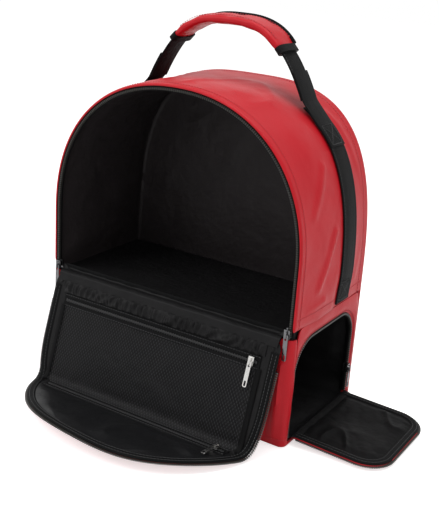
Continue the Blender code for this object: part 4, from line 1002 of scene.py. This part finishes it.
def flap_pocket():
    """Ruched strip, net and the two zips on the inside of the flap."""
    xs = np.linspace(-STRIP_HALF, STRIP_HALF, 561)
    turns = 2 * math.pi * (xs + STRIP_HALF) / (2 * STRIP_HALF)
    grid = []
    for k in np.linspace(0.0, 1.0, 15):
        swell = math.sin(math.pi * k) ** 0.6 if k < 1.0 else 0.0
        drift = wave(points(xs, k * 0.012, 0.0), 60.0, 3.0)
        slant = wave(points(xs, k * 0.02, 0.0), 22.0, 7.0)
        fold = np.sin(25 * turns + 6.0 * slant + 2.6 * k)
        fine = np.sin(61 * turns + 5.0 * drift)
        high = np.minimum(0.0010 + 0.0016 * np.abs(drift + slant), 0.0026)
        d = LAYER_D + 0.0004 + swell * (0.0030 + high * fold + 0.0005 * fine)
        grid.append(laid(flap_at, xs, 0.0110 + 0.0175 * k, d))
    place(cloth("flap_ruched_strip", np.array(grid), 0.0005, LINING, INSIDE), "front_flap",
          "flap_gather")

    rows = np.array([(-0.0090, 0.0040), (-0.0086, 0.0046), (-0.0034, 0.0048),
                     (-0.0022, 0.0044), (0.0022, 0.0044), (0.0034, 0.0048),
                     (0.0086, 0.0046), (0.0090, 0.0040)])
    for label, s, half, body in (("upper", 0.038, 0.160, "front_flap"),
                                 ("lower", FOLD_S + 0.013, 0.150, "flap_end")):
        xs = np.linspace(-half, half, 121)
        grid = laid(flap_at, xs, s + rows[:, :1], rows[:, 1:])
        name = "pocket_" + label
        place(cloth(name + "_tape_cloth", grid, 0.0006, TAPE, INSIDE), body, name + "_tape")
        chain = closed_chain(name + "_fine_teeth", half - 0.004, s, 0.0052)
        place(chain, body, name + "_coil")
        for ds in (-0.0072, 0.0072):
            stitch(body, "black", *raised(flap_at, xs, s + ds, 0.0047))

    gx, gs = np.meshgrid(np.linspace(-NET_HALF, NET_HALF, 121),
                         np.linspace(NET_LOW, NET_HIGH, 49))
    tight = (np.sin(np.pi * np.clip((gs - NET_LOW) / (NET_HIGH - NET_LOW), 0, 1))
             * np.clip((NET_HALF - np.abs(gx)) / 0.02, 0, 1))
    d = 0.0050 + tight * (0.0010 + 0.0013 * wave(points(gx, gs, 0.0), 15.0, 7.0))
    net = cloth("pocket_net", laid(flap_at, gx, gs, d), 0.0003, NETTING, INSIDE)
    place(net, FLAP, "pocket_mesh")
    for side, label in SIDES:
        pts, out = raised(flap_at, side * NET_HALF, np.linspace(NET_LOW, NET_HIGH, 60), 0.0050)
        hem = sweep("pocket_hem_" + label, pts, out, flat_profile(0.0070, 0.0008), TAPE)
        place(hem, FLAP)


def narrowing(path, half, last, count):
    """Rows of (across, a, b) along a flat path, each a little shorter than the one before."""
    path = resample(path, count)
    across = half * np.linspace(1.0, last, count)[:, None]
    return across, path[:, :1], path[:, 1:]


def hinge_facings():
    """Cloth that runs from the bag onto the flap and onto the boot door."""
    xs = np.linspace(-0.1800, 0.1800, 161)
    path = [(-0.0931, 0.1560), (-0.0937, 0.1540), (-0.0955, 0.1534), (-0.0985, 0.1536),
            (-0.1008, 0.1532)]
    path += [turned(FLAP_TURN, HINGE, s, LAYER_D + 0.0010)
             for s in (0.0015, 0.0050, 0.0090, 0.0130)]
    grid = points(*narrowing(path, xs, 0.985, 22))
    grid[..., 2] += 0.0004 * wave(grid, 50.0, 9.0)
    obj = cloth("hinge_facing_inside", grid, 0.0006, LINING, HINGE_UP)
    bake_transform(obj)

    line = front_line(0.0128, 500, HINGE_Z)
    u, s, _ = cover_points(line, HINGE_Z, 0.0008, 0.0560, 0.018, 40, 81)
    grid = laid(flap_at, u, s, LAYER_D - 0.0008)[s[:, 0] < 0.046]
    place(cloth("flap_head_cloth", grid, 0.0008, LINING, INSIDE), "front_flap")

    a0, a1 = np.array([(0.1700, -0.0936, 0.1530), (0.1808, -0.0930, 0.1600)])
    b0, b1 = np.array([flap_at(0.1600, 0.0030, 0.0050), flap_at(0.1735, 0.0170, 0.0048)])
    k = np.linspace(0, 1, 17)[:, None, None]
    m = np.linspace(0, 1, 17)[None, :, None]
    a, b = a0 + (a1 - a0) * m, b0 + (b1 - b0) * m
    sag = np.sin(np.pi * k)
    lift = points(0.0004 * m[..., 0], 0.0, 0.0020 - 0.0040 * m[..., 0])
    corner = a + (b - a) * k + lift * sag
    for side, label in SIDES:
        grid = corner * [side, 1.0, 1.0]
        grid = grid + 0.0006 * wave(grid, 70.0, 5.0)[..., None]
        obj = cloth("hinge_gusset_" + label, grid, 0.0005, LINING, HINGE_UP)
        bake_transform(obj)

    path = [(-0.0980, 0.1470), (-0.0993, 0.1495), (-0.0997, 0.1510)]
    path += [turned(FLAP_TURN, HINGE, s, -0.0002) for s in (0.0010, 0.0035)]
    grid = points(*narrowing(path, xs, 0.935, 14))
    obj = cloth("hinge_facing_outside", grid, 0.0008, RED_EDGE, np.array([0.0, -0.8, -0.4]))
    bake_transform(obj)

    path = [(0.1840, 0.0054), (0.1900, 0.0064), (0.1930, 0.0092), (0.1948, 0.0114),
            (0.1965, 0.0124)]
    path += [door_at(0.0, s, 0.0048)[::2] for s in (0.0040, 0.0075, 0.0110)]
    y, x, z = narrowing(path, np.linspace(-0.0890, 0.0870, 81), 0.90, 18)
    grid = points(x, y, z)
    grid[..., 2] += 0.0004 * wave(grid, 50.0, 4.0)
    obj = cloth("boot_hinge_facing", grid, 0.0006, LINING, UP)
    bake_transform(obj)


def door_cloths():
    """Red outside, crumpled lining, thick edge tape and teeth of the boot door."""
    u, s, e = cover_points(door_line(0.0026, 420), DOOR_Z, 0.0008, DOOR_H - 0.0026, 0.008, 70,
                           61, 0.999)
    d = 0.0010 * np.exp(-e / 0.002) + 0.0004 * wave(points(u, s, 0.0), 22.0, 5.0)
    place(cloth("boot_door_cloth", laid(door_at, u, s, d), 0.0022, RED, -UP), "boot_door",
          "boot_door_panel")
    u, s, e = cover_points(door_line(0.0130, 420), DOOR_Z, 0.0060, DOOR_H - 0.0130, 0.008, 90,
                           81, 0.999)
    flat = points(u, s, 0.0)
    free = ease(e, 0.0, 0.014) * ease(s, 0.006, 0.020)
    crumple = 0.5 + 0.5 * wave(flat, 12.0, 3.3, (1.4, 0.7, 1.0))
    fold = ridges(flat, 13.0, 8.8, (0.8, 1.5, 1.0), 0.22) ** 1.5
    fine = np.abs(wave(flat, 34.0, 5.2, (1.0, 1.3, 1.0)))
    d = LAYER_D + 0.0002 + free * (0.0006 + 0.0030 * crumple + 0.0030 * fold + 0.0010 * fine)
    # the door lining takes the lining copy painted darker: painted shade
    place(cloth("boot_door_lining_cloth", laid(door_at, u, s, d), 0.0008, LINING_PAINTED_SHADE, UP),
          "boot_door", "boot_door_lining")
    line = door_line(0.0, 300)
    run = line[line[:, 1] > DOOR_Z + 0.0030]
    rows = [(0.0044, 0.0022), (0.0036, 0.0032), (0.0040, 0.0046), (0.0062, 0.0056),
            (0.0110, 0.0057), (0.0142, 0.0050), (0.0156, 0.0034)]
    past = np.where((line[:, 0] < 0) | (line[:, 1] > DOOR_Z + 0.060))[0]
    open_zip(("boot_door_edge_tape", "boot_door_fine_teeth"), "boot_door", run, rows,
             line[past[4]:past[-1]], 0.0024, 0.0014, DOOR_ZONE, UP, 0.0006,
             ["boot_door_tape"], ["boot_door_teeth"])
    for inset in (0.0066, 0.0122):
        stitch("boot_door", "black", *beside(run, inset, 0.0057, DOOR_ZONE))


# ================================================================ webbing
def flat_normals(line):
    """Upward normals of a line that runs left to right in an x-z plane."""
    t = tangents(line)
    return points(-t[:, 2], 0.0, t[:, 0])


def box_cross(line, normals, start, end, half, lift=0.0012):
    """A sewn box with a cross, on a strap of the bag."""
    run = run_of(line)
    across = unit(np.cross(tangents(line), normals))
    marks = [(start, -half), (end, -half), (end, half), (start, half), (start, -half),
             (end, half), (end, -half), (start, half)]
    for (d0, w0), (d1, w1) in zip(marks, marks[1:]):
        k = np.linspace(0, 1, 16)
        here, out, aside = (at_run(m, run, d0 + (d1 - d0) * k) for m in (line, normals, across))
        pts = here + aside * (w0 + (w1 - w0) * k)[:, None] + out * lift
        stitch("bag", "black", pts, out, 0.0036, 0.0030)


def handle_curve(x0, x1, count):
    x = np.linspace(x0, x1, 400)
    z = HANDLE_TOP - HANDLE_FALL * np.abs(x) ** HANDLE_POWER
    line = resample(np.stack([x, z], axis=1), count)
    return points(line[:, 0], WEB_Y, line[:, 1])


def ruffle(obj, amount, scale, seed):
    """Small soft dents over a padded band."""
    mesh = obj.data
    co = np.array([v.co for v in mesh.vertices])
    n = np.array([v.normal for v in mesh.vertices])
    co = co + n * (amount * wave(co, scale, seed))[:, None]
    mesh.vertices.foreach_set("co", co.ravel())
    mesh.update()


def end_share(count):
    """Distance from the nearer end of a band, as a share of its length."""
    return np.minimum(np.arange(count), np.arange(count)[::-1]) / (count - 1)


def carry_handle():
    line = handle_curve(-0.1185, 0.1185, 161)
    normals = flat_normals(line)
    obj = sweep("handle_band", line, normals, flat_profile(WEB_W, 0.0023), WEBBING)
    place(obj, "carry_handle", "handle_webbing")
    for w in (-WEB_SEAM, WEB_SEAM):
        for part in (slice(4, 34), slice(-34, -4)):
            stitch("carry_handle", "black",
                   line[part] + BACKWARD * w + normals[part] * 0.0012, normals[part])
    line = handle_curve(-GRIP_HALF, GRIP_HALF, 121)
    normals = flat_normals(line)
    end = end_share(121)
    swell = 0.95 + 0.05 * np.clip(end / 0.10, 0, 1)
    scale = np.stack([swell, 0.80 + 0.26 * np.sqrt(np.clip(end / 0.16, 0, 1))], axis=1)
    obj = sweep("grip_cushion", line, normals, oval(0.0462, 0.0122, 3.0, 36), RED, scale)
    ruffle(obj, 0.0010, 55.0, 2.0)
    place(obj, "carry_handle", "handle_grip")
    edge = line + BACKWARD * 0.0218 * swell[:, None] + normals * 0.0026
    obj = sweep("grip_edge_binding", edge, normals, oval(0.0056, 0.0108, 2.6, 16), TAPE, scale)
    place(obj, "carry_handle")
    for w in (-0.0175, 0.0175):
        stitch("carry_handle", "red", line[6:-6] + BACKWARD * w + normals[6:-6] * 0.0058,
               normals[6:-6])
    for side, label in SIDES:
        band = handle_curve(*sorted((side * GRIP_HALF, side * (GRIP_HALF + 0.0066))), 9)
        obj = sweep("grip_binding_" + label, band, flat_normals(band),
                    oval(0.0474, 0.0132, 3.0, 28), WEBBING)
        place(obj, "carry_handle", "handle_collar_" + label)


def side_webbings():
    """Webbing sewn up the sides, and its roots that bend into the carry handle."""
    flat = section(WEB_Y, 0.1665, 600)
    side = 1 - ease(flat[:, 1], 0.36, 0.43)
    lift = 0.0030 * side * ease(flat[:, 1], SEAM_Z, SEAM_Z + 0.05) - 0.0010 * (1 - side)
    band = (flat - inward(flat) * (lift + 0.0018)[:, None])[:300]
    band = band[band[:, 0] < -0.142]
    foot = np.array([-HANDLE_FOOT - 0.0003,
                     HANDLE_TOP - HANDLE_FALL * HANDLE_FOOT ** HANDLE_POWER])
    climb = handle_curve(-0.1195, -0.1010, 16)
    climb = (climb + flat_normals(climb) * 0.0022)[:, [0, 2]]
    upper = band[:, 0] > -0.1660
    root = np.concatenate([band[upper] - inward(band)[upper] * 0.0016, climb])
    root = resample(root, 90)
    for _ in range(5):
        root[1:-1] = (root[:-2] + root[1:-1] + root[2:]) / 3
    band = resample([*band, (band[-1] + foot) / 2 + [-0.001, 0.0012], foot], 90)
    for sign, label in SIDES:
        line = points(-sign * root[:, 0], WEB_Y, root[:, 1])
        normals = flat_normals(line) * -sign
        obj = sweep("handle_root_" + label, line, normals, flat_profile(WEB_W + 0.0008, 0.0017),
                    WEBBING)
        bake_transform(obj)
        box_cross(line, normals, 0.003, 0.031, 0.0140, 0.0009)
        line = points(-sign * band[:, 0], WEB_Y, band[:, 1])
        normals = flat_normals(line) * -sign
        obj = sweep("side_band_" + label, line, normals, flat_profile(WEB_W, 0.0019), WEBBING)
        place(obj, "bag", "side_webbing_" + label)
        box_cross(line, normals, 0.004, 0.030, 0.0140)
        across = unit(np.cross(tangents(line), normals))
        for w in (-WEB_SEAM, WEB_SEAM):
            stitch("bag", "black", line + across * w + normals * 0.0009, normals)


def strap_line(first, last, count, side):
    """Middle of a shoulder strap from one share of its length to another."""
    share = np.linspace(first, last, count)
    line = points(side * (STRAP_X[0] + (STRAP_X[1] - STRAP_X[0]) * share),
                  STRAP_Y0 + (STRAP_Y1 - STRAP_Y0) * share + 4 * STRAP_BOW * share * (1 - share),
                  STRAP_TOP + (STRAP_LOW - STRAP_TOP) * share)
    across = unit(np.array([STRAP_TOP - STRAP_LOW, 0.0, side * (STRAP_X[1] - STRAP_X[0])]))
    normals = unit(np.cross(tangents(line), across))
    return line, normals if normals[count // 2][1] > 0 else -normals, across


def shoulder_straps():
    """Padded straps with their webbing and feet, and the yoke band over their heads."""
    for side, label in SIDES:
        body = "strap_" + label
        line, normals, across = strap_line(0.0, STRAP_PAD, 101, side)
        end = end_share(101)
        wide = 0.62 + 0.38 * ease(end, 0.0, 0.17)
        scale = np.stack([wide, 0.55 + 0.50 * np.sqrt(np.clip(end / 0.10, 0, 1))], axis=1)
        obj = sweep("strap_cushion_" + label, line, normals, oval(0.0600, 0.0088, 3.2, 32),
                    AIR_MESH, scale)
        ruffle(obj, 0.0005, 60.0, 4.0 + side)
        place(obj, body, "shoulder_" + body)
        for w in (-1, 1):
            edge = line + across * (w * 0.0302 * wide)[:, None]
            obj = sweep(f"strap_binding_{label}_{'in' if w * side < 0 else 'out'}", edge,
                        normals, oval(0.0034, 0.0052, 2.4, 12), TAPE)
            place(obj, body)
            stitch(body, "black", line + across * (w * 0.0235 * wide)[:, None]
                   + normals * 0.0043, normals)
        line, normals, across = strap_line(STRAP_PAD - 0.012, 1.0, 81, side)
        obj = sweep("strap_band_" + label, line, normals, flat_profile(0.025, 0.0016), WEBBING)
        place(obj, body, "strap_webbing_" + label)
        x = side * STRAP_X[1]
        k, a = np.linspace(0, 1, 15)[:, None], np.linspace(-1, 1, 21)
        grid = points(x + a * (0.0130 + 0.0050 * k), HALF_D + 0.0022 - 0.0006 * a ** 8,
                      0.0640 - 0.0340 * k)
        place(cloth("strap_foot_" + label, grid, 0.0018, RED_EDGE, BACKWARD), "bag",
              "strap_tab_" + label)
        foot = points(x, HALF_D + 0.0021, np.linspace(0.062, 0.032, 20))
        box_cross(foot, np.tile(BACKWARD, (20, 1)), 0.004, 0.026, 0.0105, 0.0003)
    xs, k = np.linspace(-0.0965, 0.0965, 61), np.linspace(0, 1, 9)[:, None]
    grid = points(xs, HALF_D + 0.0010 + 0.0003 * np.sin(np.pi * k), YOKE_Z + YOKE_H * k)
    place(cloth("yoke_band", grid, 0.0012, WEBBING, BACKWARD), "bag")
    for k in (0.12, 0.88):
        stitch("bag", "black", points(xs, HALF_D + 0.0012, YOKE_Z + YOKE_H * k), BACKWARD)


# ================================================================ build
for build in (arch_shell, main_lining, floor_pad, lower_wrap, boot_surround, back_cloth,
              back_pad, base_cloth, boot_lining, body_zips, flap_cloths, flap_pocket,
              hinge_facings, door_cloths, carry_handle, side_webbings, shoulder_straps):
    build()

for name, body, thread in (("bag_red_stitches", "bag", "red"),
                           ("bag_black_stitches", "bag", "black"),
                           ("flap_edge_stitches", FLAP, "black"),
                           ("pocket_upper_stitches", "front_flap", "black"),
                           ("pocket_lower_stitches", "flap_end", "black"),
                           ("boot_door_stitches", "boot_door", "black"),
                           ("handle_black_stitches", "carry_handle", "black"),
                           ("handle_red_stitches", "carry_handle", "red"),
                           ("strap_stitches_left", "strap_left", "black"),
                           ("strap_stitches_right", "strap_right", "black")):
    place(scatter(name, STITCHES[body, thread], THREADS[thread], mapped=False), body)

for node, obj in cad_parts.items():
    if not obj.hide_render:
        metal = NICKEL if node.startswith("pocket_") else GUNMETAL
        dress(obj, PLASTIC if node.startswith("ladder_lock") else metal, 35)


# ================================================================ stage
FLOOR_WHITE = 0.80
FLOOR_GLOW = 0.62
SKY = 0.55
AIM = Vector((0.0, 0.0, 0.2))


def seen_directly(tree):
    """1 for camera, glossy and transmission rays, 0 for the light that falls on things."""
    path = add_node(tree, "LightPath", {})
    total = path["Is Camera Ray"]
    for label in ("Is Glossy Ray", "Is Transmission Ray"):
        total = calc(tree, "ADD", total, path[label])
        total.node.use_clamp = True
    return total


def pale_floor():
    bpy.ops.object.select_all(action="DESELECT")
    bpy.ops.mesh.primitive_plane_add(size=14.0, location=(0.0, 0.0, -0.0002))
    floor = bpy.context.object
    floor.name = "floor"
    mat = bpy.data.materials.new("pale_floor")
    mat.use_nodes = True
    tree = mat.node_tree
    glow = calc(tree, "MULTIPLY", seen_directly(tree), FLOOR_GLOW)
    wire(tree, tree.nodes["Principled BSDF"],
         {"Base Color": (FLOOR_WHITE, FLOOR_WHITE, FLOOR_WHITE, 1), "Roughness": 0.9,
          "Specular IOR Level": 0.0, "Emission Color": (1, 1, 1, 1),
          "Emission Strength": glow})
    floor.data.materials.append(mat)


def white_world():
    world = bpy.data.worlds.new("studio")
    bpy.context.scene.world = world
    world.use_nodes = True
    tree = world.node_tree
    span = {"To Min": SKY, "To Max": 1.0, "Value": seen_directly(tree)}
    strength = add_node(tree, "MapRange", span)["Result"]
    wire(tree, tree.nodes["Background"], {"Color": (1, 1, 1, 1), "Strength": strength})


def lamp(name, spot, size, power):
    data = bpy.data.lights.new(name, "AREA")
    data.shape = "SQUARE"
    data.size = size
    data.energy = power
    obj = bpy.data.objects.new(name, data)
    bpy.context.scene.collection.objects.link(obj)
    obj.location = spot
    obj.rotation_euler = (AIM - Vector(spot)).to_track_quat("-Z", "Y").to_euler()


def camera(azimuth, elevation, distance, target, lens, roll):
    a, e, r = (math.radians(k) for k in (azimuth, elevation, roll))
    back = Vector((math.sin(a) * math.cos(e), -math.cos(a) * math.cos(e), math.sin(e)))
    right = (-back).cross(Vector((0, 0, 1))).normalized()
    up = right.cross(-back)
    x = right * math.cos(r) + up * math.sin(r)
    y = up * math.cos(r) - right * math.sin(r)
    data = bpy.data.cameras.new("view")
    data.lens = lens
    data.sensor_width = 36.0
    data.clip_start, data.clip_end = 0.05, 50.0
    obj = bpy.data.objects.new("view", data)
    bpy.context.scene.collection.objects.link(obj)
    turn = Matrix((x, y, back)).transposed().to_4x4()
    obj.matrix_world = Matrix.Translation(Vector(target) + back * distance) @ turn
    bpy.context.scene.camera = obj


pale_floor()
white_world()
lamp("key", (-1.2, -1.5, 1.9), 1.4, 27.0)
lamp("top", (0.3, 0.2, 2.3), 1.5, 22.0)
lamp("side", (2.2, -0.6, 1.0), 1.2, 7.0)
camera(31.2, 19.1, 1.3377, (-0.0093, 0.0489, 0.1749), 64.55, 4.0)
bpy.context.scene.view_settings.view_transform = "Standard"
